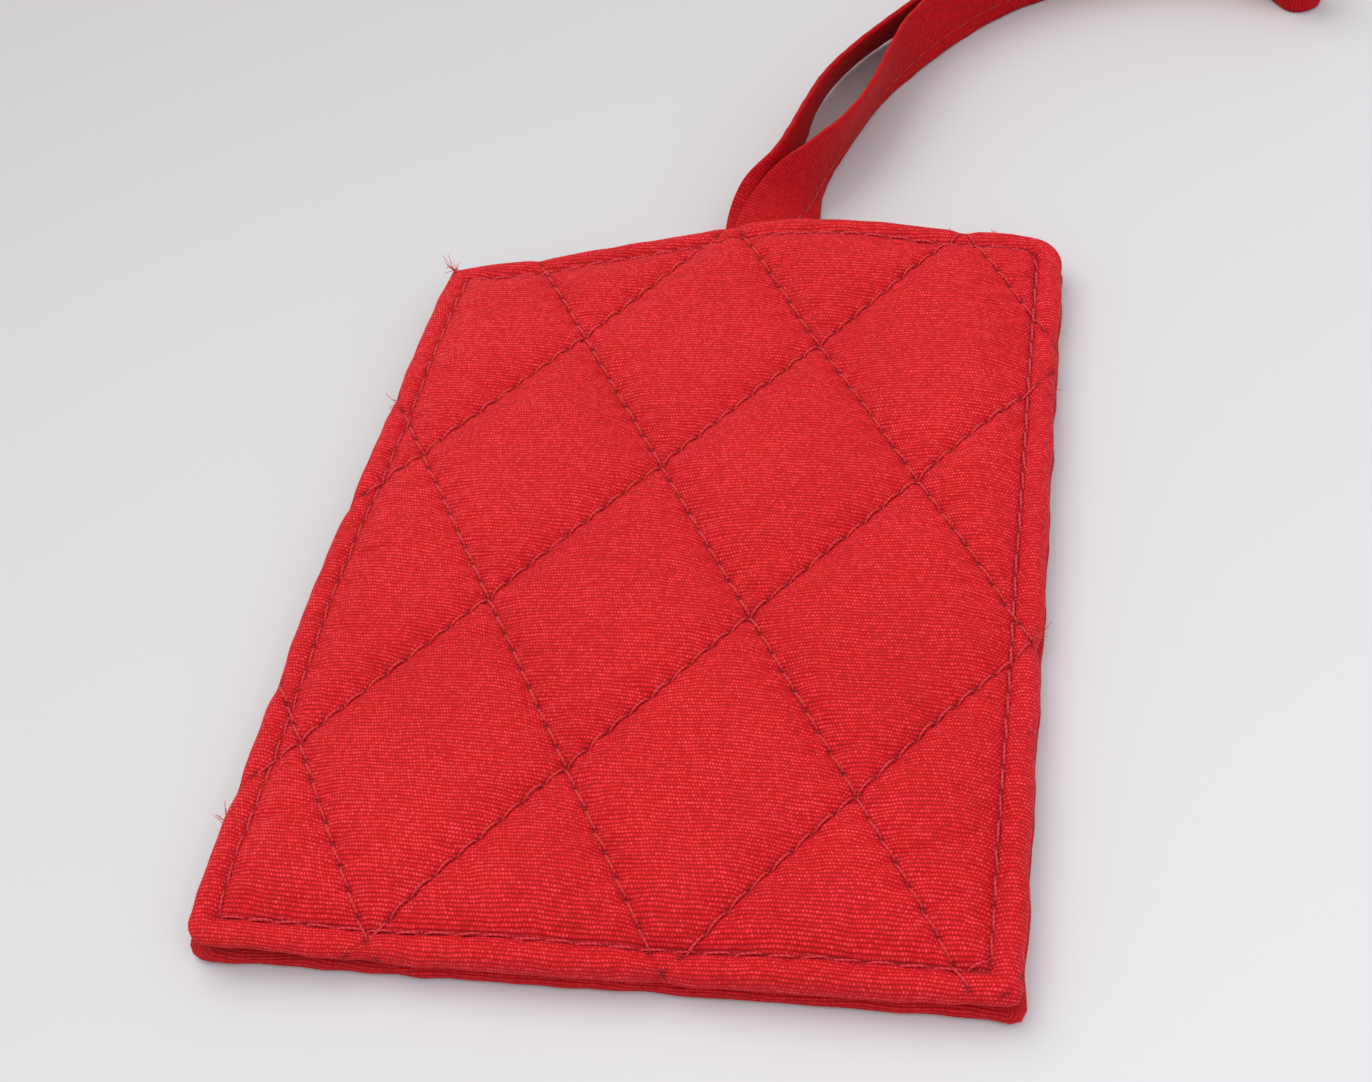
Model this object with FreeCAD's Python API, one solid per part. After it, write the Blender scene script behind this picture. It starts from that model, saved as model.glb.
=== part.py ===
import FreeCAD, Part
import math
import os

# Fabric luggage tag, lying on its back: a quilted front ply and a plain back ply with turned edges,
# topstitched together all round, with the two ends of a fabric strap loop caught between them at the
# top. The outer face of the back ply carries a clear film pocket that opens on the tag's left side and
# holds an address card. Millimetres, +Z up from the table, +Y towards the strap, +X to the right as
# seen from the front. The origin is on the table, at the middle of the tag and its strap tails.

Vec = FreeCAD.Vector

# ---- driving dimensions ----
tagWidth = 72.0
peakHeight = 95.3          # where the two straight lines of the top edge would meet
cornerLeft = 88.6          # height of the top left corner
cornerRight = 92.3         # height of the top right corner
topLeftInset = 2.1         # the left side leans in by this much at the top
leftBend = 40.0            # the left side starts to lean in at this height
cornerRadii = {
    "bottomLeft": 2.5, "bottomRight": 1.5, "topRight": 4.0,
    "peak": 90.0, "topLeft": 1.0, "left": 300.0,
}
peakOffset = 3.0           # the top edge's two lines meet this far right of the strap's middle

fabric = 0.4               # the cover cloth where it is pressed against the batting
panelCloth = 0.35          # the back cloth
tape = 0.2                 # the thin tape that binds the pocket's mouth
lining = 0.2
batting = 1.4
interfacing = 0.2
film = 0.25
card = 0.25
thread = 0.2
cardGap = 0.1              # free space above and below the card where the pocket is narrowest
hemWidth = 8.0

topstitchInset = 2.7
topstitchLength = 2.7
stitchShare = 0.8          # a stitch's visible part, as a share of the step between its needle holes
stitchClearance = 0.04     # between threads that cross
quiltSpacing = 21.45       # between rows, measured square to them
quiltPitchCount = 9        # stitches from one crossing to the next
quiltDownAngle = -58.2     # rows that fall to the right
quiltUpAngle = 51.7        # rows that rise to the right
quiltCrossing = (9.0, 37.5)  # one crossing, from the middle of the bottom edge

strapWidth = 8.2
strapThickness = 0.9
strapCentre = 2.3          # the strap leaves the top edge a little right of the middle
strapStagger = 0.8         # sideways shift between the two ends, which lie one on the other
tailLength = 11.0          # length of each strap end that is sewn in
hingeOut = 1.5             # the strap bends this far outside the top edge
hingeGap = 0.2
strapStart = 2.4           # the free loop starts this far past the bend
arcShare = 0.45            # how much of the shorter run beside it each of the strap's arcs takes

filmInset = 1.2            # outer edge of the film from the tag's edge
rimWidth = 3.4             # width of the film's sewn margin
rimOverlap = 0.5           # the flat window runs this far under the margin
mouthStep = 1.0            # the film steps down this far past its binding
bindingSeam = 1.5          # from the binding's inner edge to its row of stitches
bindingGap = 0.1           # between the binding's ends and the margins
mouthX = -28.0             # edge of the pocket's mouth
bindingWidth = 7.0
cardSize = (54.0, 78.0)
cardClearance = 0.5        # between the card and the sewn margins

# ---- levels above the table, from the pocket up to the quilting thread ----
filmMarginLow = thread + tape
bindingTop = filmMarginLow + film + tape
cardLow = bindingTop + cardGap
cardTop = cardLow + card
panelLow = cardTop + cardGap + thread
interfacingLow = panelLow + panelCloth
panelHemLow = interfacingLow + interfacing
panelTop = panelHemLow + panelCloth
liningLow = panelTop + fabric
battingLow = liningLow + lining
coverLow = battingLow + batting
frontTop = coverLow + fabric
hingeZ = panelTop + strapThickness

halfWidth = tagWidth / 2
topEdge = 94.9             # height of the rounded top edge at the strap
hingeHeight = topEdge + hingeOut
bottomY = -(hingeHeight - hingeGap) / 2   # puts the origin at the middle of tag and tails


def at(x, height, z=0.0):
    """A point from its height above the bottom edge."""
    return Vec(x, bottomY + height, z)


def roundedWire(points, radii, closed):
    """Straight runs joined by tangent arcs. A radius belongs to each point that is rounded."""
    count = len(points)
    edges = []
    first = None
    last = None
    for i in range(count):
        here = points[i]
        if not closed and i in (0, count - 1):
            enter = leave = here
        else:
            before = (points[i - 1] - here).normalize()
            after = (points[(i + 1) % count] - here).normalize()
            halfTurn = (math.pi - before.getAngle(after)) / 2
            reach = radii[i] * math.tan(halfTurn)
            enter = here + before * reach
            leave = here + after * reach
            inward = (before + after).normalize()
            sagitta = radii[i] / math.cos(halfTurn) - radii[i]
        if last is not None:
            edges.append(Part.LineSegment(last, enter).toShape())
        if enter != leave:
            edges.append(Part.Arc(enter, here + inward * sagitta, leave).toShape())
        if first is None:
            first = enter
        last = leave
    if closed:
        edges.append(Part.LineSegment(last, first).toShape())
    return Part.Wire(edges)


def outline(inset=0.0):
    """The tag's outline: sides that are nearly straight, and a top edge that rises to the strap."""
    corners = [
        at(-halfWidth, 0), at(halfWidth, 0), at(halfWidth, cornerRight),
        at(strapCentre + peakOffset, peakHeight), at(-halfWidth + topLeftInset, cornerLeft),
        at(-halfWidth, leftBend),
    ]
    wire = roundedWire(corners, list(cornerRadii.values()), True)
    return wire.makeOffset2D(-inset) if inset else wire


def slab(wire, low, high):
    """The flat area inside a wire, from one level to another."""
    solid = Part.Face(wire).extrude(Vec(0, 0, high - low))
    solid.translate(Vec(0, 0, low))
    return solid


def block(x0, x1, y0, y1, z0, z1):
    """A box between two heights above the bottom edge."""
    return Part.makeBox(x1 - x0, y1 - y0, z1 - z0, at(x0, y0, z0))


def turnedPly(low, high, cloth, fillLow, fillHigh, hemLow, hemHigh):
    """A cloth with its edge turned under: a face, a rim, a hem, and the room between them for its filling."""
    ply = slab(outline(), low, high)
    ply = ply.cut(slab(outline(cloth), fillLow, fillHigh))
    return ply.cut(slab(outline(hemWidth), hemLow, hemHigh))


def strapTails():
    """The strap's two ends, one on the other, sewn in between the plies."""
    tails = []
    for layer in range(2):
        left = strapCentre - strapWidth / 2 + (layer - 0.5) * strapStagger
        low = panelTop + layer * strapThickness
        tails.append(block(left, left + strapWidth, topEdge - tailLength, hingeHeight - hingeGap,
                           low, low + strapThickness))
    return tails


def stitch(start, end, low):
    """One stitch of thread between two needle holes, as a flat bar."""
    along = end - start
    length = along.Length * stitchShare
    bar = Part.makeBox(length, thread, thread, Vec(-length / 2, -thread / 2, 0))
    middle = (start + end) * 0.5
    turn = math.degrees(math.atan2(along.y, along.x))
    bar.Placement = FreeCAD.Placement(Vec(middle.x, middle.y, low), FreeCAD.Rotation(Vec(0, 0, 1), turn))
    return bar


def topstitchHoles():
    """Needle holes at even steps along the line that joins the two plies."""
    line = outline(topstitchInset)
    count = round(line.Length / topstitchLength)
    return line.discretize(Number=count + 1)


def needleTopstitch():
    holes = topstitchHoles()
    return Part.makeCompound([stitch(a, b, frontTop) for a, b in zip(holes, holes[1:])])


def bobbinTopstitch():
    """The same seam on the back: over the film where there is film, and on the cloth elsewhere."""
    holes = topstitchHoles()
    bars = []
    for a, b in zip(holes, holes[1:]):
        if min(a.x, b.x) > mouthX + thread:
            bars.append(stitch(a, b, film - thread))
        elif max(a.x, b.x) < mouthX - thread:
            bars.append(stitch(a, b, panelLow - thread))
    return Part.makeCompound(bars)


def quiltRow(angle, otherAngle, index):
    """One row of quilting, edge to edge of the cover, with a needle hole at each crossing."""
    radians = math.radians(angle)
    along = Vec(math.cos(radians), math.sin(radians), 0)
    side = math.radians(otherAngle)
    other = Vec(math.cos(side), math.sin(side), 0)
    crossingStep = quiltSpacing / abs(math.sin(radians - side))
    origin = at(*quiltCrossing) + other * (index * crossingStep)
    step = crossingStep / quiltPitchCount
    inside = Part.Face(outline(thread))
    seam = outline(topstitchInset)
    reach = int((tagWidth + peakHeight) / step)
    bars = []
    for k in range(-reach, reach):
        start = origin + along * (k * step)
        end = origin + along * ((k + 1) * step)
        if not (inside.isInside(start, 1e-6, True) and inside.isInside(end, 1e-6, True)):
            continue
        bar = stitch(start, end, frontTop)
        hidden = along * (step * (1 - stitchShare) / 2)
        shadow = Part.LineSegment(start + hidden, end - hidden).toShape()
        if shadow.distToShape(seam)[0] > thread + stitchClearance:
            bars.append(bar)
    return Part.makeCompound(bars)


def windowFilm():
    """A shallow clear tray: a flat window, sewn margins on three sides, and a raised edge at the mouth."""
    stepX = mouthX + bindingWidth + mouthStep
    inner = slab(outline(filmInset + rimWidth - rimOverlap), 0, film)
    inner = inner.cut(block(-halfWidth, stepX, 0, peakHeight, 0, film))
    margin = slab(outline(filmInset), film, panelLow).cut(slab(outline(filmInset + rimWidth), film, panelLow))
    margin = margin.cut(block(-halfWidth, mouthX, 0, peakHeight, film, panelLow))
    mouth = slab(outline(filmInset + rimWidth - rimOverlap), 0, filmMarginLow + film)
    edge = mouth.common(block(mouthX, stepX + film, 0, peakHeight, filmMarginLow, filmMarginLow + film))
    rise = mouth.common(block(stepX, stepX + film, 0, peakHeight, 0, filmMarginLow + film))
    return inner.fuse([margin, edge, rise]).removeSplitter()


def bindingHeights():
    """The binding runs between the film's sewn margins, at the mouth."""
    inner = outline(filmInset + rimWidth)
    line = Part.LineSegment(at(mouthX - film, 0), at(mouthX - film, peakHeight)).toShape()
    crossings = sorted(v.Point.y - bottomY for v in line.common(Part.Face(inner)).Vertexes)
    return crossings[0] + bindingGap, crossings[-1] - bindingGap


def mouthBinding():
    """Thin tape folded over the film's edge at the mouth."""
    low, high = bindingHeights()
    outer = block(mouthX - tape, mouthX + bindingWidth, low, high, thread, bindingTop)
    slot = block(mouthX, mouthX + bindingWidth, low, high, filmMarginLow, filmMarginLow + film)
    return outer.cut(slot)


def bindingThread():
    low, high = bindingHeights()
    x = mouthX + bindingWidth - bindingSeam
    count = round((high - low) / topstitchLength)
    step = (high - low) / count
    holes = [at(x, low + k * step) for k in range(count + 1)]
    return Part.makeCompound([stitch(a, b, 0) for a, b in zip(holes, holes[1:])])


def addressCard():
    right = halfWidth - filmInset - rimWidth - cardClearance
    low = filmInset + rimWidth + cardClearance
    return block(right - cardSize[0], right, low, low + cardSize[1], cardLow, cardTop)


# The strap's route as seen from above, as (x, height above the bottom edge): out from the strap tails
# along the left strand, round the fold at the loop's far end, and back along the right strand.
strapRoute = [
    (1.9, hingeHeight + strapStart), (3.1, 103.6), (4.1, 109.0), (5.0, 114.8), (5.7, 120.4), (8.0, 126.6),
    (11.9, 133.0), (17.0, 139.0), (24.4, 144.7), (34.0, 149.2), (45.2, 151.0), (55.8, 149.9),
    (63.3, 146.1), (66.0, 140.5), (62.1, 138.5), (58.9, 144.0), (53.0, 147.2), (45.2, 148.2),
    (37.0, 146.9), (29.9, 143.9), (24.0, 139.8), (19.6, 135.0), (16.4, 129.9), (14.2, 124.8),
    (12.6, 119.9), (11.2, 115.3), (9.7, 111.0), (8.0, 107.0), (6.4, 102.9), (4.6, hingeHeight + strapStart),
]


def routeWire(z):
    """The route as runs and tangent arcs, each arc as large as its two runs allow."""
    points = [at(x, height, z) for x, height in strapRoute]
    radii = [0.0] * len(points)
    for i in range(1, len(points) - 1):
        before = points[i - 1] - points[i]
        after = points[i + 1] - points[i]
        halfTurn = (math.pi - before.getAngle(after)) / 2
        radii[i] = arcShare * min(before.Length, after.Length) / math.tan(halfTurn)
    print("strap radii", [round(radius, 1) for radius in radii[1:-1]])
    return roundedWire(points, radii, False)


def strapLoop():
    """The free loop as a plain band that stands on its edge on the table."""
    middle = strapWidth / 2
    path = routeWire(middle)
    start = at(*strapRoute[0], middle)
    ahead = (at(*strapRoute[1], middle) - start).normalize()
    side = Vec(-ahead.y, ahead.x, 0) * (strapThickness / 2)
    rise = Vec(0, 0, middle)
    corners = [start + side + rise, start - side + rise, start - side - rise, start + side - rise]
    profile = Part.makePolygon(corners + corners[:1])
    band = path.makePipeShell([profile], True, False)
    print("strap length", round(path.Length, 1), "volume over section times length",
          round(band.Volume / (strapWidth * strapThickness * path.Length), 4))
    return band


os.makedirs("parts", exist_ok=True)
tailLower, tailUpper = strapTails()
tails = tailLower.fuse(tailUpper)

nodes = {
    "front_cover": turnedPly(panelTop, frontTop, fabric, liningLow, coverLow, panelTop, liningLow).cut(tails),
    "front_batting": slab(outline(fabric), battingLow, coverLow).cut(tails),
    "front_lining": slab(outline(fabric), liningLow, battingLow).cut(tails),
    "back_panel": turnedPly(panelLow, panelTop, panelCloth,
                            interfacingLow, panelHemLow, panelHemLow, panelTop),
    "back_interfacing": slab(outline(panelCloth), interfacingLow, panelHemLow),
    "window_film": windowFilm(),
    "mouth_binding": mouthBinding(),
    "binding_thread": bindingThread(),
    "address_card": addressCard(),
    "strap_tail_lower": tailLower,
    "strap_tail_upper": tailUpper,
    "strap_loop": strapLoop(),
    "topstitch_needle_thread": needleTopstitch(),
    "topstitch_bobbin_thread": bobbinTopstitch(),
}
for number, index in enumerate(range(-2, 3), 1):
    nodes[f"quilt_row_down_{number}"] = quiltRow(quiltDownAngle, quiltUpAngle, index)
for number, index in enumerate(range(-2, 2), 1):
    nodes[f"quilt_row_up_{number}"] = quiltRow(quiltUpAngle, quiltDownAngle, index)

for name, shape in nodes.items():
    solids = shape.Solids
    state = "valid" if shape.isValid() else "NOT VALID"
    print(name, len(solids), "solids", round(shape.Volume, 2), "mm3", state)
    shape.exportStep(f"parts/{name}.step")
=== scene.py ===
import bpy
import math
from functools import partial
import numpy as np
from mathutils import Matrix, Vector
from mathutils.bvhtree import BVHTree


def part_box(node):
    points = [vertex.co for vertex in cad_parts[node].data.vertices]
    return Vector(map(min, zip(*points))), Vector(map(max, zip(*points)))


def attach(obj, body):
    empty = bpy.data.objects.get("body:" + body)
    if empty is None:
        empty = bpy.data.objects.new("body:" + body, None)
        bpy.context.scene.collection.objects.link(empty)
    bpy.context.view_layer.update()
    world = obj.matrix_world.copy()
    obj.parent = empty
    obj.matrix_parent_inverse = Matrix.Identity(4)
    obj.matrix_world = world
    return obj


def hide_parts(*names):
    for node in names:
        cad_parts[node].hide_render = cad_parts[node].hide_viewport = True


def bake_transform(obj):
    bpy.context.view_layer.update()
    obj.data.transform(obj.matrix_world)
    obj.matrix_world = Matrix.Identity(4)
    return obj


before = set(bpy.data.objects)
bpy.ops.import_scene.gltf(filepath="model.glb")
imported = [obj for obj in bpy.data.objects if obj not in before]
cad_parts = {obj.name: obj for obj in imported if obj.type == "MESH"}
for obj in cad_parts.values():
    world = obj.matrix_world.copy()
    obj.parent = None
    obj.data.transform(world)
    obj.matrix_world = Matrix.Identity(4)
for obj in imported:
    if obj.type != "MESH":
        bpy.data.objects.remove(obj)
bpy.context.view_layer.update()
print("frame loaded:", len(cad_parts), "nodes")

# Lengths below are millimetres and are turned to metres as a mesh is made. A place on the tag is (x, height
# above the bottom edge, height above the table), and bottomY puts the bottom edge where the frame has it.
metre = 0.001
tagLow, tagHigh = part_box("front_cover")
bottomY = tagLow.y / metre


def levels(node):  # lowest and highest level of a CAD node
    low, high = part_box(node)
    return low.z / metre, high.z / metre


panelLevel = levels("back_panel")
coverLevel = levels("front_cover")


def smooth(t):  # 0 below 0, 1 above 1, and 3 t squared minus 2 t cubed between
    t = np.clip(t, 0.0, 1.0)
    return t * t * (3.0 - 2.0 * t)


def hump(x, middle, width):  # the bell curve, e to minus the square of the distance over the width
    return np.exp(-((x - middle) / width) ** 2)


def wander(x, y, seed, waves=7, longest=34.0, shortest=9.0):
    # a gentle unevenness from -1 to 1: the mean of sines that run in seeded directions with seeded lengths
    rng = np.random.default_rng(seed)
    angle, phase = rng.uniform(0, 2 * np.pi, (2, waves))
    length = rng.uniform(shortest, longest, waves)
    along = x[..., None] * np.cos(angle) + y[..., None] * np.sin(angle)
    return np.sin(2 * np.pi * along / length + phase).mean(-1) * 1.8


def toMetres(points):  # (x, height above the bottom edge, level) to the frame
    return (points + np.array([0.0, bottomY, 0.0])) * metre


def makeObject(name, points, quads, flat=None, smoothFaces=True):
    # one mesh from whole arrays; flat is the place of each point on the cloth before it was bent, in mm
    mesh = bpy.data.meshes.new(name)
    mesh.vertices.add(len(points))
    mesh.vertices.foreach_set("co", np.ascontiguousarray(toMetres(points), np.float32).ravel())
    mesh.loops.add(quads.size)
    mesh.loops.foreach_set("vertex_index", np.ascontiguousarray(quads, np.int32).ravel())
    mesh.polygons.add(len(quads))
    mesh.polygons.foreach_set("loop_start", np.arange(0, quads.size, 4, dtype=np.int32))
    mesh.polygons.foreach_set("use_smooth", np.full(len(quads), smoothFaces))
    if flat is not None:
        layer = mesh.uv_layers.new(name="cloth")
        layer.data.foreach_set("uv", np.ascontiguousarray(flat[quads.ravel()], np.float32).ravel())
    mesh.update(calc_edges=True)
    mesh.validate()
    obj = bpy.data.objects.new(name, mesh)
    bpy.context.scene.collection.objects.link(obj)
    return obj


def gridQuads(rows, columns, closeRows=False, closeColumns=False, start=0):
    # the faces between neighbours of a grid whose points are numbered row by row
    i = np.arange(rows if closeRows else rows - 1)[:, None]
    j = np.arange(columns if closeColumns else columns - 1)[None, :]
    nextI = (i + 1) % rows
    nextJ = (j + 1) % columns
    corners = [i * columns + j, nextI * columns + j, nextI * columns + nextJ, i * columns + nextJ]
    return np.stack(np.broadcast_arrays(*corners), -1).reshape(-1, 4) + start


def solidify(obj, thickness, offset=-1.0):
    wall = obj.modifiers.new("thickness", "SOLIDIFY")
    wall.thickness = thickness * metre
    wall.offset = offset
    wall.use_even_offset = False
    return wall


view = {
    "place": (43.18, -119.43, 138.35),   # mm in the frame
    "aim": (0.05, 2.27, 0.0),
    "roll": 13.52,                       # degrees
    "lens": 49.25,                       # on a sensor 36 mm wide
    "sensor": 36.0,
    "clip": (0.005, 20.0),
}


def makeCamera():
    cameraData = bpy.data.cameras.new("camera")
    cameraData.lens = view["lens"]
    cameraData.sensor_width = view["sensor"]
    cameraData.clip_start, cameraData.clip_end = view["clip"]
    camera = bpy.data.objects.new("camera", cameraData)
    bpy.context.scene.collection.objects.link(camera)
    place = Vector(view["place"]) * metre
    ahead = (Vector(view["aim"]) * metre - place).normalized()
    level = ahead.to_track_quat("-Z", "Y")
    turn = Matrix.Rotation(math.radians(view["roll"]), 4, ahead)
    camera.matrix_world = Matrix.Translation(place) @ turn @ level.to_matrix().to_4x4()
    bpy.context.scene.camera = camera


makeCamera()
print("camera set")


# Stitching, which the cover's shape and its cloth share: rows of quilting, and the seam round the edge.
quilt = {
    "spacing": 21.45,           # between rows, square to them
    "stitches": 9,              # from one crossing to the next
    "down": -58.2,              # degrees, rows that fall to the right
    "up": 51.7,                 # degrees, rows that rise to the right
    "crossing": (9.0, 37.5),
    "depth": 0.55,              # how far a row is pulled below the puffed cloth
    "slope": 0.8,               # the cloth rises again over about this distance
    "holeDepth": 0.25,          # more at each needle hole
    "ripple": 0.07,
    "rippleReach": 1.8,
    "deepest": 1.25,            # about this many depths where rows cross
    "dimpleWidth": 0.75,        # where a row draws the rolled edge in
    "crown": 0.35,              # a diamond's middle stands this much higher
    "creaseWidth": 0.26,        # width of the painted shade and the groove along a row of stitches
    "creaseShade": 0.58,        # how dark that painted shade is, and how much of it is at the needle holes
    "holeShare": 0.8,
    "creaseDepth": 1.6,         # in heights of the weave
}
seam = {
    "inset": 2.7, "stitch": 2.7, "depth": 0.95, "slope": 0.7,
    "shade": 0.75,              # painted shade along the seam, as a share of a row's at its needle holes
    "lastHole": 0.55,           # rows of quilting end this near the edge
}
crossingStep = quilt["spacing"] / math.sin(math.radians(quilt["up"] - quilt["down"]))
needleStep = crossingStep / quilt["stitches"]


def rowGrid(angle):
    # one set of rows: the cosine and sine of its direction, and how far along it each row's crossings are
    # shifted from the last row's, the crossing step times the cosine of the angle between the two sets
    other = quilt["up"] if angle == quilt["down"] else quilt["down"]
    between = math.radians(other - angle)
    shift = crossingStep * math.cos(between) * math.copysign(1.0, math.sin(between))
    return math.cos(math.radians(angle)), math.sin(math.radians(angle)), shift


def linear(hexText):
    # sRGB to linear: a twelfth of it when dark, otherwise ((value + 0.055) / 1.055) to the power 2.4
    values = [int(hexText[i:i + 2], 16) / 255 for i in (1, 3, 5)]
    return tuple(v / 12.92 if v < 0.04045 else ((v + 0.055) / 1.055) ** 2.4 for v in values) + (1.0,)


def addNode(tree, kind, settings, *operands):
    # One node; its first output comes back. Settings are attributes or inputs by name, or just the operation,
    # and operands are the inputs in order. Each is a value, or a socket to link.
    node = tree.nodes.new("ShaderNode" + kind)
    named = {"operation": settings} if isinstance(settings, str) else settings
    for key, value in [*named.items(), *enumerate(operands)]:
        if isinstance(key, str) and hasattr(node, key):
            setattr(node, key, value)
        elif isinstance(value, bpy.types.NodeSocket):
            tree.links.new(value, node.inputs[key])
        else:
            node.inputs[key].default_value = value
    return node.outputs[0]


def newMaterial(name, settings):
    # a Principled material with its even values on the shader's own sockets, and what adds nodes to it
    material = bpy.data.materials.new(name)
    material.use_nodes = True
    for key, value in settings.items():
        material.node_tree.nodes["Principled BSDF"].inputs[key].default_value = value
    return material, partial(addNode, material.node_tree)


def drive(material, sockets):
    # join nodes to the shader's inputs by name
    tree = material.node_tree
    for key, socket in sockets.items():
        tree.links.new(socket, tree.nodes["Principled BSDF"].inputs[key])
    return material


def colourStops(ramp, *hexColours):
    for stop, colour in zip(ramp.node.color_ramp.elements, hexColours):
        stop.color = linear(colour)


def creaseShadeAndGroove(add, place):
    # 1 along a line of stitches and 0 away from it: e to minus the square of the distance over the crease's
    # width, deeper at each needle hole, by the fourth power of a cosine. The rows lie as rowPlace has them.
    # It drives both the painted shade along the stitches and the groove in the bump.
    x = add("SeparateXYZ", {}, place)
    y = x.node.outputs["Y"]
    startX, startY = quilt["crossing"]
    lines = []
    for angle in (quilt["down"], quilt["up"]):
        c, s, shift = rowGrid(angle)
        across = add("Math", "MULTIPLY_ADD", y, c, startX * s - startY * c)
        across = add("Math", "MULTIPLY_ADD", x, -s, across)
        number = add("Math", "ROUND", add("Math", "DIVIDE", across, quilt["spacing"]))
        away = add("Math", "MULTIPLY_ADD", number, -quilt["spacing"], across)
        along = add("Math", "MULTIPLY_ADD", y, s, -startX * c - startY * s)
        along = add("Math", "MULTIPLY_ADD", x, c, along)
        along = add("Math", "MULTIPLY_ADD", number, -shift, along)
        wave = add("Math", "COSINE", add("Math", "MULTIPLY", along, math.pi / needleStep))
        lines.append((away, add("Math", "POWER", add("Math", "ABSOLUTE", wave), 4.0)))
    fromEdge = add("Attribute", {"attribute_name": "fromEdge"}).node.outputs["Fac"]
    lines.append((add("Math", "SUBTRACT", fromEdge, seam["inset"]), seam["shade"]))
    deepest = 0.0
    for away, hole in lines:
        share = add("Math", "DIVIDE", away, quilt["creaseWidth"])
        bell = add("Math", "EXPONENT", add("Math", "MULTIPLY", add("Math", "MULTIPLY", share, share), -1.0))
        strength = add("Math", "MULTIPLY_ADD", hole, quilt["holeShare"], 1.0 - quilt["holeShare"])
        deepest = add("Math", "MAXIMUM", deepest, add("Math", "MULTIPLY", bell, strength))
    return deepest


weave = {
    "wander": ((0.11, 2.0, 1.3), (1.3, 1.0, 0.14)),   # noise per mm, its detail, mm that yarns stray
    "floats": 0.65,             # share of a yarn's height from its float, the rest being its rib
    "slub": (0.7, 0.65),        # height by the slub noise, and without it
    "slubGrain": (0.35, 0.7),   # slubs run along a row, and differ from row to row
    "chance": 0.45,             # floats differ in height by this much
    "cloud": (0.05, 0.25),      # noise per mm and the range that turns it to painted glints, small bright spots of painted highlight
    "paintedGlint": (6.5, 0.6, 0.8),   # noise per mm and the range that turns it to bright flecks
    "glossRange": (0.5, 1.3),   # heights from the roughest to the smoothest
    "gloss": (0.1, -0.22),      # roughness added there
    "relief": 0.3,              # yarn height in picks
}


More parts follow.
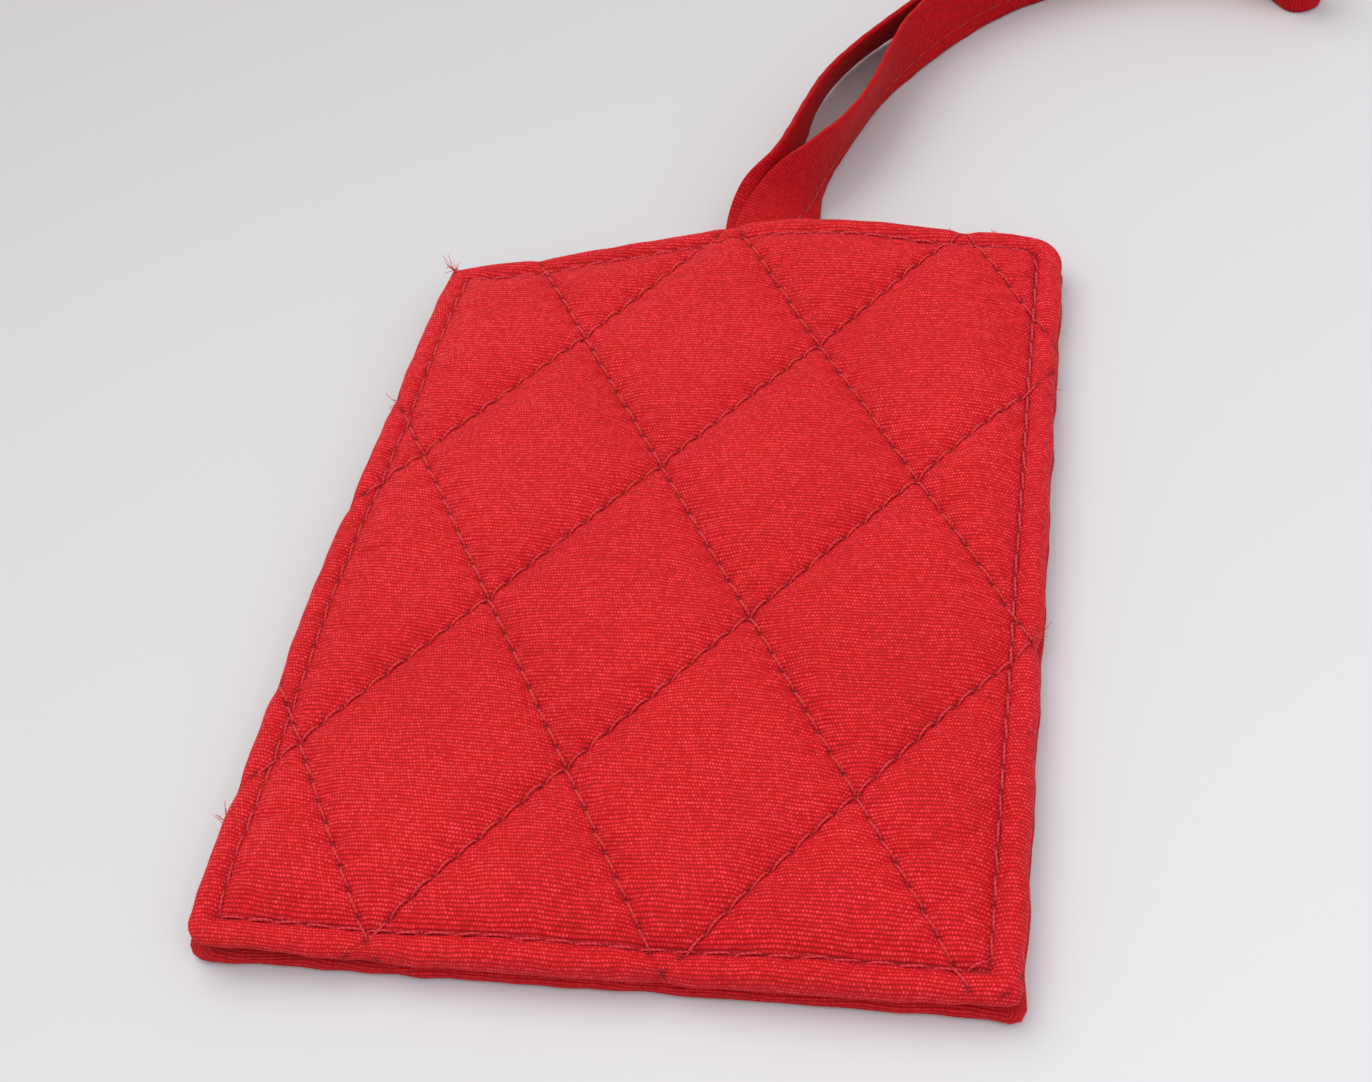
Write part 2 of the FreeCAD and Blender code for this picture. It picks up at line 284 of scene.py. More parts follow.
def wovenCotton(name, look, creased=False):
    # Cotton broadcloth, plain woven and piece dyed: close fine yarns with a crosswise rib, matt with a few
    # floats and slubs that stand higher. Its colour holds painted light: lighter where the yarns stand higher
    # and darker between them, as painted highlight and shade, with small painted glints on the yarns. Rows of
    # floats lie a pick apart, and each row is shifted by half a float.
    material, add = newMaterial(name, {
        "Roughness": look["roughness"],
        "Specular IOR Level": look["specular"],
        "Sheen Weight": look["sheen"],
        "Sheen Roughness": 0.4,
    })
    place = add("UVMap", {"uv_map": "cloth"})
    moved = place
    for scale, detail, reach in weave["wander"]:
        noise = add("TexNoise", {"Scale": scale, "Detail": detail}, place)
        stray = add("VectorMath", {"operation": "SCALE", "Scale": reach}, noise.node.outputs["Color"])
        moved = add("VectorMath", "ADD", moved, stray)
    x = add("SeparateXYZ", {}, moved)
    row = add("Math", "DIVIDE", x.node.outputs["Y"], look["pick"])
    rowIndex = add("Math", "FLOOR", row)
    column = add("Math", "MULTIPLY_ADD", rowIndex, 0.5, add("Math", "DIVIDE", x, 2 * look["end"]))
    rib = add("Math", "SINE", add("Math", "MULTIPLY", add("Math", "FRACT", row), math.pi))
    over = add("Math", "SINE", add("Math", "MULTIPLY", add("Math", "FRACT", column), math.pi))
    over = add("Math", "MULTIPLY_ADD", over, weave["floats"], 1.0 - weave["floats"])
    yarn = add("Math", "MULTIPLY", rib, over)
    cell = add("CombineXYZ", {}, add("Math", "FLOOR", column), rowIndex)
    chance = add("TexWhiteNoise", {"noise_dimensions": "2D"}, cell)
    slubPlace = add("CombineXYZ", {}, *[add("Math", "MULTIPLY", socket, share)
                                        for socket, share in zip((x, rowIndex), weave["slubGrain"])])
    slub = add("TexNoise", {"Scale": 1.0, "Detail": 2.0}, slubPlace)
    cloud = add("TexNoise", {"Scale": weave["cloud"][0], "Detail": 3.0}, place)
    glintScale, glintLow, glintHigh = weave["paintedGlint"]
    glintNoise = add("TexNoise", {"Scale": glintScale, "Detail": 1.0}, place)
    paintedGlint = add("MapRange", {"From Min": glintLow, "From Max": glintHigh}, glintNoise)
    glintAmount = add("Math", "MULTIPLY", add("Math", "MULTIPLY", paintedGlint, yarn), look["glintAmount"])
    height = add("Math", "MULTIPLY", yarn, add("Math", "MULTIPLY_ADD", slub, *weave["slub"]))
    height = add("Math", "MULTIPLY_ADD", add("Math", "SUBTRACT", chance, 0.5), weave["chance"], height)
    # painted highlight and shade: the tone follows the yarns' height, lighter on top and darker between them,
    # and the painted glints are added to it
    tone = add("Math", "MULTIPLY_ADD", height, look["contrast"], glintAmount)
    tone = add("Math", "MULTIPLY_ADD", add("Math", "SUBTRACT", cloud, 0.5), weave["cloud"][1], tone)
    # the dark and light colours are the weave's painted shade and painted highlight, about its base colour
    colour = add("ValToRGB", {}, tone)
    colourStops(colour, look["dark"], look["light"])
    colour.node.color_ramp.elements.new(0.45).color = linear(look["base"])
    if creased:
        # painted shade: the colour is darkened along the rows of stitches and the seam, most at the needle
        # holes, and the same lines are sunk into the bump
        crease = creaseShadeAndGroove(add, place)
        shade = add("Math", "MULTIPLY_ADD", crease, -quilt["creaseShade"], 1.0)
        colour = add("VectorMath", {"operation": "SCALE", "Scale": shade}, colour)
        height = add("Math", "MULTIPLY_ADD", crease, -quilt["creaseDepth"], height)
    least, most = weave["glossRange"]
    rough, fine = (look["roughness"] + change for change in weave["gloss"])
    gloss = add("MapRange", {"From Min": least, "From Max": most, "To Min": rough, "To Max": fine}, height)
    relief = look["pick"] * weave["relief"] * metre
    bump = add("Bump", {"Strength": look["bump"], "Distance": relief, "Height": height})
    return drive(material, {"Base Color": colour, "Roughness": gloss, "Normal": bump})


# dark and light are the weave's painted shade and painted highlight colours, contrast sets how far yarn
# height moves the tone between them, and the glint amount how bright the painted glints are
coverLook = {
    "base": "#e30f1b", "dark": "#ab060e", "light": "#ff6570", "roughness": 0.6, "specular": 0.22,
    "sheen": 0.0, "pick": 0.37, "end": 0.15, "contrast": 0.56, "glintAmount": 0.55, "bump": 0.85,
}
panelLook = dict(coverLook, base="#d00f1a", dark="#9c0810", light="#e8303c", pick=0.3, end=0.14)
# the strap is the same cotton as the cover, painted darker all over as painted shade
shadedStrapLook = dict(coverLook, base="#c00811", dark="#94050c", light="#d8222c", specular=0.12,
                 pick=0.33, end=0.15, glintAmount=0.2, bump=0.6)
liningLook = dict(coverLook, base="#c42a34", dark="#8c141e", light="#dc5a64", pick=0.45, end=0.2)


def sewingThread(name, look):
    # Spun polyester sewing thread, three plies twisted to the left: thin slanting lines of painted shade
    # between the plies
    material, add = newMaterial(name, {"Roughness": 0.6, "Specular IOR Level": 0.4, "Sheen Weight": 0.1})
    place = add("UVMap", {"uv_map": "cloth"})
    x = add("SeparateXYZ", {}, place)
    turn = add("Math", "ADD", add("Math", "DIVIDE", x, look["twist"]), x.node.outputs["Y"])
    ply = add("Math", "SINE", add("Math", "MULTIPLY", add("Math", "FRACT", turn), math.pi))
    fuzz = add("TexNoise", {"Scale": 9.0, "Detail": 2.0}, place)
    colour = add("ValToRGB", {}, add("Math", "MULTIPLY", ply, add("Math", "ADD", fuzz, 0.5)))
    colourStops(colour, look["dark"], look["light"])
    bump = add("Bump", {"Strength": 0.6, "Distance": 0.05 * metre, "Height": ply})
    return drive(material, {"Base Color": colour, "Normal": bump})


def fibreWeb(name, look):
    # Needled or bonded fibre web, as batting and interfacing are: tangled pale fibres, quite matt
    material, add = newMaterial(name, {"Roughness": 0.95, "Sheen Weight": 0.2})
    place = add("TexCoord", {}).node.outputs["Object"]
    fibres = add("TexNoise", {"Scale": look["scale"] / metre, "Detail": 6.0, "Distortion": 2.5}, place)
    colour = add("ValToRGB", {}, fibres)
    colourStops(colour, look["dark"], look["light"])
    for stop, position in zip(colour.node.color_ramp.elements, (0.3, 0.65)):
        stop.position = position
    bump = add("Bump", {"Strength": 0.8, "Distance": 0.2 * metre, "Height": fibres})
    return drive(material, {"Base Color": colour, "Normal": bump})


def clearVinyl():
    # Calendered clear PVC film: glossy and see-through, with faint ripples that bend its reflections
    material, add = newMaterial("clear calendered vinyl", {
        "Base Color": linear("#f4f6f5"), "Roughness": 0.06, "IOR": 1.53, "Transmission Weight": 1.0,
    })
    place = add("TexCoord", {}).node.outputs["Object"]
    ripple = add("TexNoise", {"Scale": 0.09 / metre, "Detail": 3.0}, place)
    haze = add("TexNoise", {"Scale": 0.7 / metre, "Detail": 4.0}, place)
    rough = add("MapRange", {"From Min": 0.35, "From Max": 0.75, "To Min": 0.04, "To Max": 0.13}, haze)
    bump = add("Bump", {"Strength": 0.5, "Distance": 0.25 * metre, "Height": ripple})
    return drive(material, {"Roughness": rough, "Normal": bump})


cardPrint = {"lineSpacing": 9.0, "lineWidth": 0.35, "margin": 5.0, "headHeight": 14.0}


def printedCard():
    # Uncoated white card, offset printed with plain writing lines: a faint paper grain under grey ink
    material, add = newMaterial("uncoated card", {"Roughness": 0.85, "Specular IOR Level": 0.3})
    low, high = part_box("address_card")
    place = add("TexCoord", {}).node.outputs["Object"]
    x = add("SeparateXYZ", {}, place)
    y = x.node.outputs["Y"]
    margin, head = cardPrint["margin"] * metre, cardPrint["headHeight"] * metre
    fromBottom = add("Math", "SUBTRACT", y, low.y)
    row = add("Math", "FRACT", add("Math", "DIVIDE", fromBottom, cardPrint["lineSpacing"] * metre))
    line = add("Math", "LESS_THAN", row, cardPrint["lineWidth"] / cardPrint["lineSpacing"])
    for distance, least in ((add("Math", "SUBTRACT", x, low.x), margin), (fromBottom, margin),
                            (add("Math", "SUBTRACT", high.x, x), margin),
                            (add("Math", "SUBTRACT", high.y, y), head)):
        line = add("Math", "MULTIPLY", line, add("Math", "GREATER_THAN", distance, least))
    grain = add("TexNoise", {"Scale": 2.2 / metre, "Detail": 5.0}, place)
    paper = add("ValToRGB", {}, grain)
    colourStops(paper, "#e4e1d8", "#f3f1ea")
    inked = add("Mix", {"data_type": "RGBA", 0: line, 6: paper, 7: linear("#7d8288")}).node.outputs[2]
    bump = add("Bump", {"Strength": 0.3, "Distance": 0.03 * metre, "Height": grain})
    return drive(material, {"Base Color": inked, "Normal": bump})


# dark is the painted shade between a thread's plies, and light its own colour on their tops
threadReds = {
    "quiltingThread": ("red quilting thread", "#a00c16", "#e42430"),
    "seamThread": ("red seam thread", "#9c0c16", "#e22a36"),
    # the strap's thread is the same red thread, painted darker as painted shade like the strap cloth
    "strapThread": ("red strap thread with painted shade", "#760911", "#b81a25"),
}
materials = {
    "cover": wovenCotton("red cotton broadcloth", coverLook, creased=True),
    "panel": wovenCotton("red cotton backing cloth", panelLook),
    "strap": wovenCotton("red cotton strap cloth with painted shade", shadedStrapLook),
    "tape": wovenCotton("red cotton tape", panelLook),
    "lining": wovenCotton("thin red lining cloth", liningLook),
    "batting": fibreWeb("white polyester batting",
                        {"scale": 1.1, "dark": "#d9d6cc", "light": "#f6f4ee"}),
    "interfacing": fibreWeb("white fusible interfacing",
                            {"scale": 2.0, "dark": "#cfcfcb", "light": "#efefec"}),
    "vinyl": clearVinyl(),
    "card": printedCard(),
}
threadTwist = 0.5   # mm in one turn of its plies
for key, (threadName, dark, light) in threadReds.items():
    materials[key] = sewingThread(threadName, {"twist": threadTwist, "dark": dark, "light": light})


def dress(obj, material):
    obj.data.materials.clear()
    obj.data.materials.append(materials[material])


def unit(vectors):
    return vectors / np.linalg.norm(vectors, axis=-1, keepdims=True)


def lengthAlong(line):
    return np.r_[0.0, np.cumsum(np.linalg.norm(np.diff(line, axis=0), axis=1))]


def tubes(name, centres, radii, up, sides=6):
    # Tubes along rows of centres, all in one mesh: centre + radius * (cos a * side + sin a * up). Two faces
    # close each end of these six-sided tubes.
    count, steps = centres.shape[:2]
    along = unit(np.gradient(centres, axis=1))
    side = unit(np.cross(along, up))
    top = np.cross(side, along)
    a = np.linspace(0, 2 * np.pi, sides, endpoint=False)
    ring = side[:, :, None] * np.cos(a)[:, None] + top[:, :, None] * np.sin(a)[:, None]
    points = centres[:, :, None] + ring * radii[:, :, None, None]
    wall = gridQuads(steps, sides, closeColumns=True)
    cap = np.array([[0, 1, 2, 5], [2, 3, 4, 5]])
    one = np.r_[wall, cap, cap[:, ::-1] + (steps - 1) * sides]
    quads = (one[None] + (np.arange(count) * steps * sides)[:, None, None]).reshape(-1, 4)
    spans = np.linalg.norm(np.diff(centres, axis=1), axis=-1)
    length = np.cumsum(np.concatenate([np.zeros((count, 1)), spans], 1), 1)
    flat = np.stack(np.broadcast_arrays(length[:, :, None], a / (2 * np.pi)), -1)
    return makeObject(name, points.reshape(-1, 3), quads, flat.reshape(-1, 2))


threads = {
    "radius": 0.13,
    "plunge": 0.5,          # how far a stitch's ends dive into the needle holes
    "power": 5,             # and how steeply
    "slant": 0.10,          # each stitch lies a little across its row
    "rest": 0.85,           # height of its middle above the cloth, in radii
    "pinch": 0.3,           # it is thinner at its ends
    "thickness": (0.85, 1.12),
    "steps": 9,
    "stray": 0.045,         # how unevenly the needle holes lie on the cover,
    "strayBelow": 0.04,     # and on the back
}


def stitches(name, start, middle, end, up, material, seed, radius=None):
    # Each stitch runs over three points of the cloth, (1-t)(1-2t) start + 4t(1-t) middle + t(2t-1) end,
    # nearly a radius above them, and dives into its holes by (plunge + radius) * |2t-1| to the power 5.
    rng = np.random.default_rng(seed)
    radius = radius or threads["radius"]
    slant = threads["slant"] * rng.uniform(0.5, 1.5, (len(start), 1))
    across = unit(np.cross(end - start, up))
    start, end = start + across * slant, end - across * slant
    t = (1 - np.cos(np.pi * np.linspace(0, 1, threads["steps"]))) / 2
    t = t[None, :, None]
    away = np.abs(2 * t - 1)
    line = (1 - t) * (1 - 2 * t) * start[:, None] + t * (2 * t - 1) * end[:, None]
    line = line + 4 * t * (1 - t) * middle[:, None]
    lift = radius * threads["rest"] - (threads["plunge"] + radius) * away ** threads["power"]
    line = line + up[:, None] * lift
    thick = radius * rng.uniform(*threads["thickness"], (len(start), 1))
    thick = thick * (1 - threads["pinch"] * away[..., 0] ** 4)
    piece = tubes(name, line, thick, up[:, None] + 0 * line)
    dress(piece, material)
    return piece


# the strap is one flat cord, out along the left strand and back along the right one
strap = {
    "width": 8.2,
    "thickness": 0.9,
    "edgeStitch": 2.1,      # from the strap's middle to its row of stitches
    "stitch": 2.7,
    "threadRadius": 0.1,
    "squareness": 0.55,     # 1 gives a round section, and less a squarer one
    "flatness": 0.5,
    "dip": (0.34, 0.42),    # share of the thickness that the stitches press in, and how far beside them
    "dipRipple": 0.25,      # of that, this much comes and goes from stitch to stitch
    "innerFold": (0.12, 0.6, 0.6),   # the folded edges are thicker: share, place from the edge, width
    "outerFold": (0.10, 0.6, 0.7),
    "cockle": (0.05, 0.07), # unevenness out of its face, by stitches and along its length, in thicknesses
    "waver": (0.012, 0.01), # unevenness of its width
    "waves": (3.9, 2.3, 0.9),   # mm to a radian along its length: one of its face, two of its width
    "around": 36,           # points round the section
    "resolution": 14,       # points from one point of the route to the next
    "bendStart": -1.0,      # where the strap starts to follow its hinge, from the tag's top edge
    "bendEnd": 7.0,
}
# x, height above the bottom edge, height above the table, turn of the band about its own line in degrees:
# 0 lies flat and -90 stands on its edge
strapRoute = [
    (1.9, 84.4, 2.85, 0), (1.9, 90.0, 2.85, 0), (1.8, 95.2, 2.9, -4),
    (1.9, 98.8, 3.3, -34), (3.4, 103.6, 4.1, -86), (3.9, 109.0, 4.22, -98), (4.8, 114.8, 4.2, -104),
    (5.7, 120.4, 4.05, -113), (8.0, 126.6, 3.8, -122), (11.9, 133.0, 3.7, -125), (17.0, 139.0, 3.8, -120),
    (24.4, 144.7, 4.0, -110), (34.0, 149.2, 4.2, -98), (45.2, 151.0, 4.2, -92), (55.8, 149.9, 4.2, -90),
    (63.3, 146.1, 4.2, -90), (66.0, 140.5, 4.2, -90), (62.1, 138.5, 4.2, -90), (58.9, 144.0, 4.2, -90),
    (53.0, 147.2, 4.2, -90), (45.2, 148.2, 4.2, -90), (37.0, 146.9, 4.2, -90), (29.9, 143.9, 4.2, -92),
    (24.0, 139.8, 4.2, -96), (19.6, 135.0, 4.2, -100), (16.4, 129.9, 4.2, -94), (14.2, 124.8, 4.2, -80),
    (12.6, 119.9, 4.15, -73), (11.2, 115.3, 4.1, -70), (9.7, 111.0, 4.15, -73), (8.0, 107.0, 4.2, -83),
    (6.4, 102.9, 4.2, -104), (4.6, 98.8, 3.95, -148),
    (2.9, 95.2, 3.8, -177), (2.7, 90.0, 3.75, -180), (2.7, 84.4, 3.75, -180),
]


def splinePoints(values):
    # points along the smooth NURBS spline of order 3 that has these as its control points
    curve = bpy.data.curves.new("route", "CURVE")
    curve.dimensions = "3D"
    curve.resolution_u = strap["resolution"]
    spline = curve.splines.new("NURBS")
    spline.points.add(len(values) - 1)
    spline.points.foreach_set("co", np.c_[values, np.ones(len(values))].astype(np.float32).ravel())
    spline.order_u = 3
    spline.use_endpoint_u = True
    carrier = bpy.data.objects.new("route", curve)
    mesh = bpy.data.meshes.new_from_object(carrier)
    line = np.zeros(len(mesh.vertices) * 3, np.float32)
    mesh.vertices.foreach_get("co", line)
    bpy.data.meshes.remove(mesh)
    bpy.data.curves.remove(curve)
    return line.reshape(-1, 3).astype(float)


def bandFrame():
    # the strap's line, and at each of its points the directions across the band and out of its face.
    # across = cos(turn) level-right + sin(turn) up, and out = along x across
    route = np.array(strapRoute, float)
    line = splinePoints(route[:, :3])
    turn = np.radians(splinePoints(np.c_[route[:, 3], np.zeros((len(route), 2))])[:, 0])
    along = unit(np.gradient(line, axis=0))
    right = unit(np.cross(along, [0.0, 0.0, 1.0]))
    up = np.cross(right, along)
    across = right * np.cos(turn)[:, None] + up * np.sin(turn)[:, None]
    out = np.cross(across, along)
    return line, across, out


def strapSurface(line, across, out, s, a):
    # s is the length along the strap, a the angle round its section. The section is a rounded bar,
    # (half width * cos a, half thickness * sin a) with the corners filled out, thinner at its stitched row
    # and rippled a little from stitch to stitch.
    half, thick = strap["width"] / 2, strap["thickness"] / 2
    c, n = np.cos(a)[None, :], np.sin(a)[None, :]
    w = np.sign(c) * np.abs(c) ** strap["squareness"] * np.ones_like(s)[:, None]
    t = np.sign(n) * np.abs(n) ** strap["flatness"]
    s = s[:, None]
    turns = 2 * np.pi * s / strap["stitch"]
    dip, beside = strap["dip"]
    dip = dip * hump(w * half, strap["edgeStitch"], beside) * (1 + strap["dipRipple"] * (np.cos(turns) - 1))
    (inner, innerPlace, innerWidth), (outer, outerPlace, outerWidth) = strap["innerFold"], strap["outerFold"]
    fold = inner * hump(w * half, half - innerPlace, innerWidth)
    fold = fold + outer * hump(w * half, outerPlace - half, outerWidth)
    faceWave, longWave, shortWave = strap["waves"]
    wave = strap["cockle"][0] * np.sin(turns + 0.7) * w ** 2 + strap["cockle"][1] * np.sin(s / faceWave)
    thickness = thick * t * (1.0 - dip + fold)
    edge = 1.0 + strap["waver"][0] * np.sin(s / longWave) + strap["waver"][1] * np.sin(s / shortWave + 2.0)
    return (line[:, None, :] + across[:, None, :] * (w * edge * half)[..., None]
            + out[:, None, :] * (thickness + wave * thick)[..., None])


def makeStrap():
    line, across, out = bandFrame()
    s = lengthAlong(line)
    a = np.linspace(0, 2 * np.pi, strap["around"], endpoint=False)
    points = strapSurface(line, across, out, s, a)
    rows, columns = points.shape[:2]
    # flat place on the cloth: once round the section is once round the cloth
    girth = np.cumsum(np.r_[0.0, np.linalg.norm(np.diff(points[rows // 2], axis=0), axis=1)])
    flat = np.stack(np.broadcast_arrays(girth[None, :], s[:, None]), -1)
    quads = gridQuads(rows, columns, closeColumns=True)
    # each cut end is closed by a strip of faces across the band
    k = np.arange(columns // 2 - 1)
    endFaces = np.stack([k, k + 1, columns - 2 - k, columns - 1 - k], -1)
    farFaces = endFaces[:, ::-1] + (rows - 1) * columns
    quads = np.r_[quads, endFaces, farFaces]
    piece = makeObject("strap_band", points.reshape(-1, 3), quads, flat.reshape(-1, 2))
    dress(piece, "strap")
    # one row of stitches closes the folded strap, and shows on both of its faces
    holeSteps = np.arange(1.0, s[-1] - 1.0, strap["stitch"])
    places = np.r_[holeSteps, holeSteps[:-1] + strap["stitch"] / 2]
    nearEdge = math.acos((strap["edgeStitch"] * 2 / strap["width"]) ** (1 / strap["squareness"]))
    sewnLines = strapSurface(line, across, out, s, np.array([nearEdge, -nearEdge]))
    starts, middles, ends, ups = [], [], [], []
    for face, way in ((0, 1.0), (1, -1.0)):
        on = np.stack([np.interp(places, s, sewnLines[:, face, k]) for k in range(3)], -1)
        up = np.stack([np.interp(places[len(holeSteps):], s, way * out[:, k]) for k in range(3)], -1)
        starts.append(on[:len(holeSteps) - 1])
        ends.append(on[1:len(holeSteps)])
        middles.append(on[len(holeSteps):])
        ups.append(unit(up))
    thread = stitches("strap_stitches", *map(np.concatenate, (starts, middles, ends, ups)), "strapThread", 71,
                      radius=strap["threadRadius"])
    return piece, thread, line


strapPiece, strapThread, strapLine = makeStrap()
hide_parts("strap_loop", "strap_tail_lower", "strap_tail_upper")
for piece in (strapPiece, strapThread):
    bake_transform(piece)
strapPath = toMetres(strapLine)
strapLength = lengthAlong(strapPath)[-1]
print("strap made, mm along its line:", round(strapLength / metre, 1))


# the tag's outline, and the surfaces inside it
outline = {
    # x, height and radius of each corner, anticlockwise from the bottom left one
    "corners": [(-36.0, 0.0, 2.5), (36.0, 0.0, 1.5), (36.0, 92.3, 4.0), (5.3, 95.3, 90.0),
                (-33.9, 88.6, 1.0), (-36.0, 40.0, 300.0)],
    "left": (4, 5, 0),      # corners along each side, for a patch with four sides
    "bottom": (0, 1),
    "right": (1, 2),
    "top": (2, 3, 4),
}
cornerPlaces = np.array(outline["corners"])[:, :2]
cornerRadii = np.array(outline["corners"])[:, 2]
sideAlong = unit(np.roll(cornerPlaces, -1, axis=0) - cornerPlaces)   # side i runs from corner i to the next
sideInward = np.stack([-sideAlong[:, 1], sideAlong[:, 0]], -1)
sideOffset = (cornerPlaces * sideInward).sum(-1)


def cornerArcs(inset, steps=25):
    # the arc at each corner of the outline moved in by inset: its centre less its radius times a direction,
    # which turns from the last side's inward normal to the next one's
    radii = np.maximum(cornerRadii - inset, 0.05)
    before, after = np.roll(sideInward, 1, axis=0), sideInward
    offsets = np.stack([np.roll(sideOffset, 1) + inset + radii, sideOffset + inset + radii], -1)
    centres = np.linalg.solve(np.stack([before, after], 1), offsets[..., None])[..., 0]
    turn = np.arccos(np.clip((before * after).sum(-1), -1, 1))
    angle = np.arctan2(before[:, 1], before[:, 0])[:, None] + turn[:, None] * np.linspace(0, 1, steps)
    return centres[:, None, :] - radii[:, None, None] * np.stack([np.cos(angle), np.sin(angle)], -1)


def evenly(line, count):
    # count + 1 points at even steps along a line
    along = lengthAlong(line)
    steps = np.linspace(0, along[-1], count + 1)
    return np.stack([np.interp(steps, along, line[:, k]) for k in range(line.shape[1])], -1)


def sideLine(inset, side):
    # one side of the outline, from the middle of its first corner's arc to the middle of its last one's
    arcs = cornerArcs(inset)
    corners = outline[side]
    half = arcs.shape[1] // 2
    pieces = [arcs[c][half if n == 0 else 0:half + 1 if n == len(corners) - 1 else None]
              for n, c in enumerate(corners)]
    return np.concatenate(pieces)


def patch(bottom, top, left, right):
    # Coons patch: the blend of bottom and top, plus that of left and right, less that of the four corners
    u = np.linspace(0, 1, len(bottom))[:, None, None]
    v = np.linspace(0, 1, len(left))[None, :, None]
    across = (1 - v) * bottom[:, None] + v * top[:, None]
    upward = (1 - u) * left[None] + u * right[None]
    corners = (1 - u) * ((1 - v) * bottom[0] + v * top[0]) + u * ((1 - v) * bottom[-1] + v * top[-1])
    return across + upward - corners


def outlinePatch(inset, columns, rows):
    return patch(evenly(sideLine(inset, "bottom"), columns), evenly(sideLine(inset, "top")[::-1], columns),
                 evenly(sideLine(inset, "left")[::-1], rows), evenly(sideLine(inset, "right"), rows))


def edgeDistance(x, y, sides=(0, 1, 2, 3, 4, 5)):
    # how far inside the outline: the least distance to its sides, and beside a rounded corner the radius less
    # the distance to the arc's centre
    place = np.stack([x, y], -1)
    distance = place @ sideInward.T - sideOffset
    best = distance[..., list(sides)].min(-1)
    for c in range(len(cornerRadii)):
        if c in sides and (c - 1) % len(cornerRadii) in sides:
            centre = np.linalg.solve(np.stack([sideInward[c - 1], sideInward[c]]),
                                     [sideOffset[c - 1] + cornerRadii[c], sideOffset[c] + cornerRadii[c]])
            away = place - centre
            beside = (away @ sideAlong[c - 1] > 0) & (away @ sideAlong[c] < 0)
            best = np.where(beside, np.minimum(best, cornerRadii[c] - np.linalg.norm(away, axis=-1)), best)
    return best


def rimOf(grid):
    # the points round the edge of a grid, anticlockwise from its first corner, and where they are numbered
    columns, rows = grid.shape[:2]
    number = np.arange(columns * rows).reshape(columns, rows)
    ring = np.r_[number[:-1, 0], number[-1, :-1], number[:0:-1, -1], number[0, :0:-1]]
    return grid.reshape(columns * rows, -1)[ring], ring


def outwardOf(loop):
    along = np.roll(loop, -1, axis=0) - np.roll(loop, 1, axis=0)
    return unit(np.stack([along[:, 1], -along[:, 0]], -1))


# the plies' levels are formulas of the place on the tag
plies = {
    "sagStart": 5.2,            # from the sewn edges in to here, the plies hang below their level
    "seamSag": 0.85,            # at the seam
    "lipSag": 0.5,              # more at the very edge
    "rimInset": 1.35,           # the rounded edge's top lies this far in
    "panelPly": 0.88,
    "cover": 0.36,
    "hem": 8.0,
    "tails": 1.8,               # the strap's two ends, one on the other
    "tailMiddle": 2.3,
    "tailHalf": (7.2, 2.4),     # half the width of the room for them, and the slope beside it
    "tailStart": (81.5, 3.0),   # height where that room starts, and the slope there
    "tailLift": 1.65,           # they raise the cover over them,
    "liftStart": (76.0, 17.0),  # from this height up, over this distance,
    "lifts": ((0.7, 4.0, 13.0), (0.42, 17.0, 18.0)),   # by these shares, at these places, so wide
    "clearance": 0.03,          # between the plies
    "mouthSag": (0.12, 2.5),    # of the back ply along the pocket's mouth, and how far in it reaches
    "topShare": 0.3,            # its sag along the top, as a share of that along the bottom and right
    "uneven": 0.03,
}


def rowPlace(x, y, angle):
    # distance from the nearest row, and how far along it in stitches
    c, sine, shift = rowGrid(angle)
    dx, dy = x - quilt["crossing"][0], y - quilt["crossing"][1]
    across = dy * c - dx * sine
    number = np.round(across / quilt["spacing"])
    away = across - number * quilt["spacing"]
    stitches = (dx * c + dy * sine - number * shift) / needleStep
    return away, stitches


def panelUnder(x, y):
    # underside of the back ply: its own level in the middle and along the pocket's mouth on the left, and
    # lower towards the other three edges, where it is sewn down to the film and its lip hangs to the table
    mouthSag, reach = plies["mouthSag"]
    sag = mouthSag * smooth((reach - edgeDistance(x, y, (4, 5))) / reach)
    for sides, share in (((0, 1), 1.0), ((2, 3), plies["topShare"])):
        d = edgeDistance(x, y, sides)
        toSeam = plies["seamSag"] * smooth((plies["sagStart"] - d) / (plies["sagStart"] - seam["inset"]))
        toLip = plies["lipSag"] * smooth((seam["inset"] - d) / seam["inset"])
        sag = np.maximum(sag, share * (toSeam + toLip))
    return panelLevel[0] - sag + plies["uneven"] * wander(x, y, 3)


def panelOver(x, y):
    return panelUnder(x, y) + plies["panelPly"]


# how far the plies part at the two bottom corners: gap, place along the edge, width, and how high it reaches
gapes = [(1.5, -34.0, 13.0, 6.5), (0.75, 34.5, 6.0, 5.5)]


def lipGape(x, y):
    return sum(gap * hump(x, place, width) * smooth(1 - y / reach) for gap, place, width, reach in gapes)


def tailLift(x, y):
    # the cover is raised over the strap's ends, and slopes away from them, further on the right
    start, run = plies["liftStart"]
    ridge = sum(share * hump(x, place, width) for share, place, width in plies["lifts"])
    return plies["tailLift"] * ridge * smooth((y - start) / run)


def coverUnder(x, y):
    # on the back ply, apart from the room for the strap's two ends
    (half, side), (start, run) = plies["tailHalf"], plies["tailStart"]
    beside = smooth((half - np.abs(x - plies["tailMiddle"])) / side)
    tails = plies["tails"] * beside * smooth((y - start) / run)
    return panelOver(x, y) + plies["clearance"] + lipGape(x, y) + tails


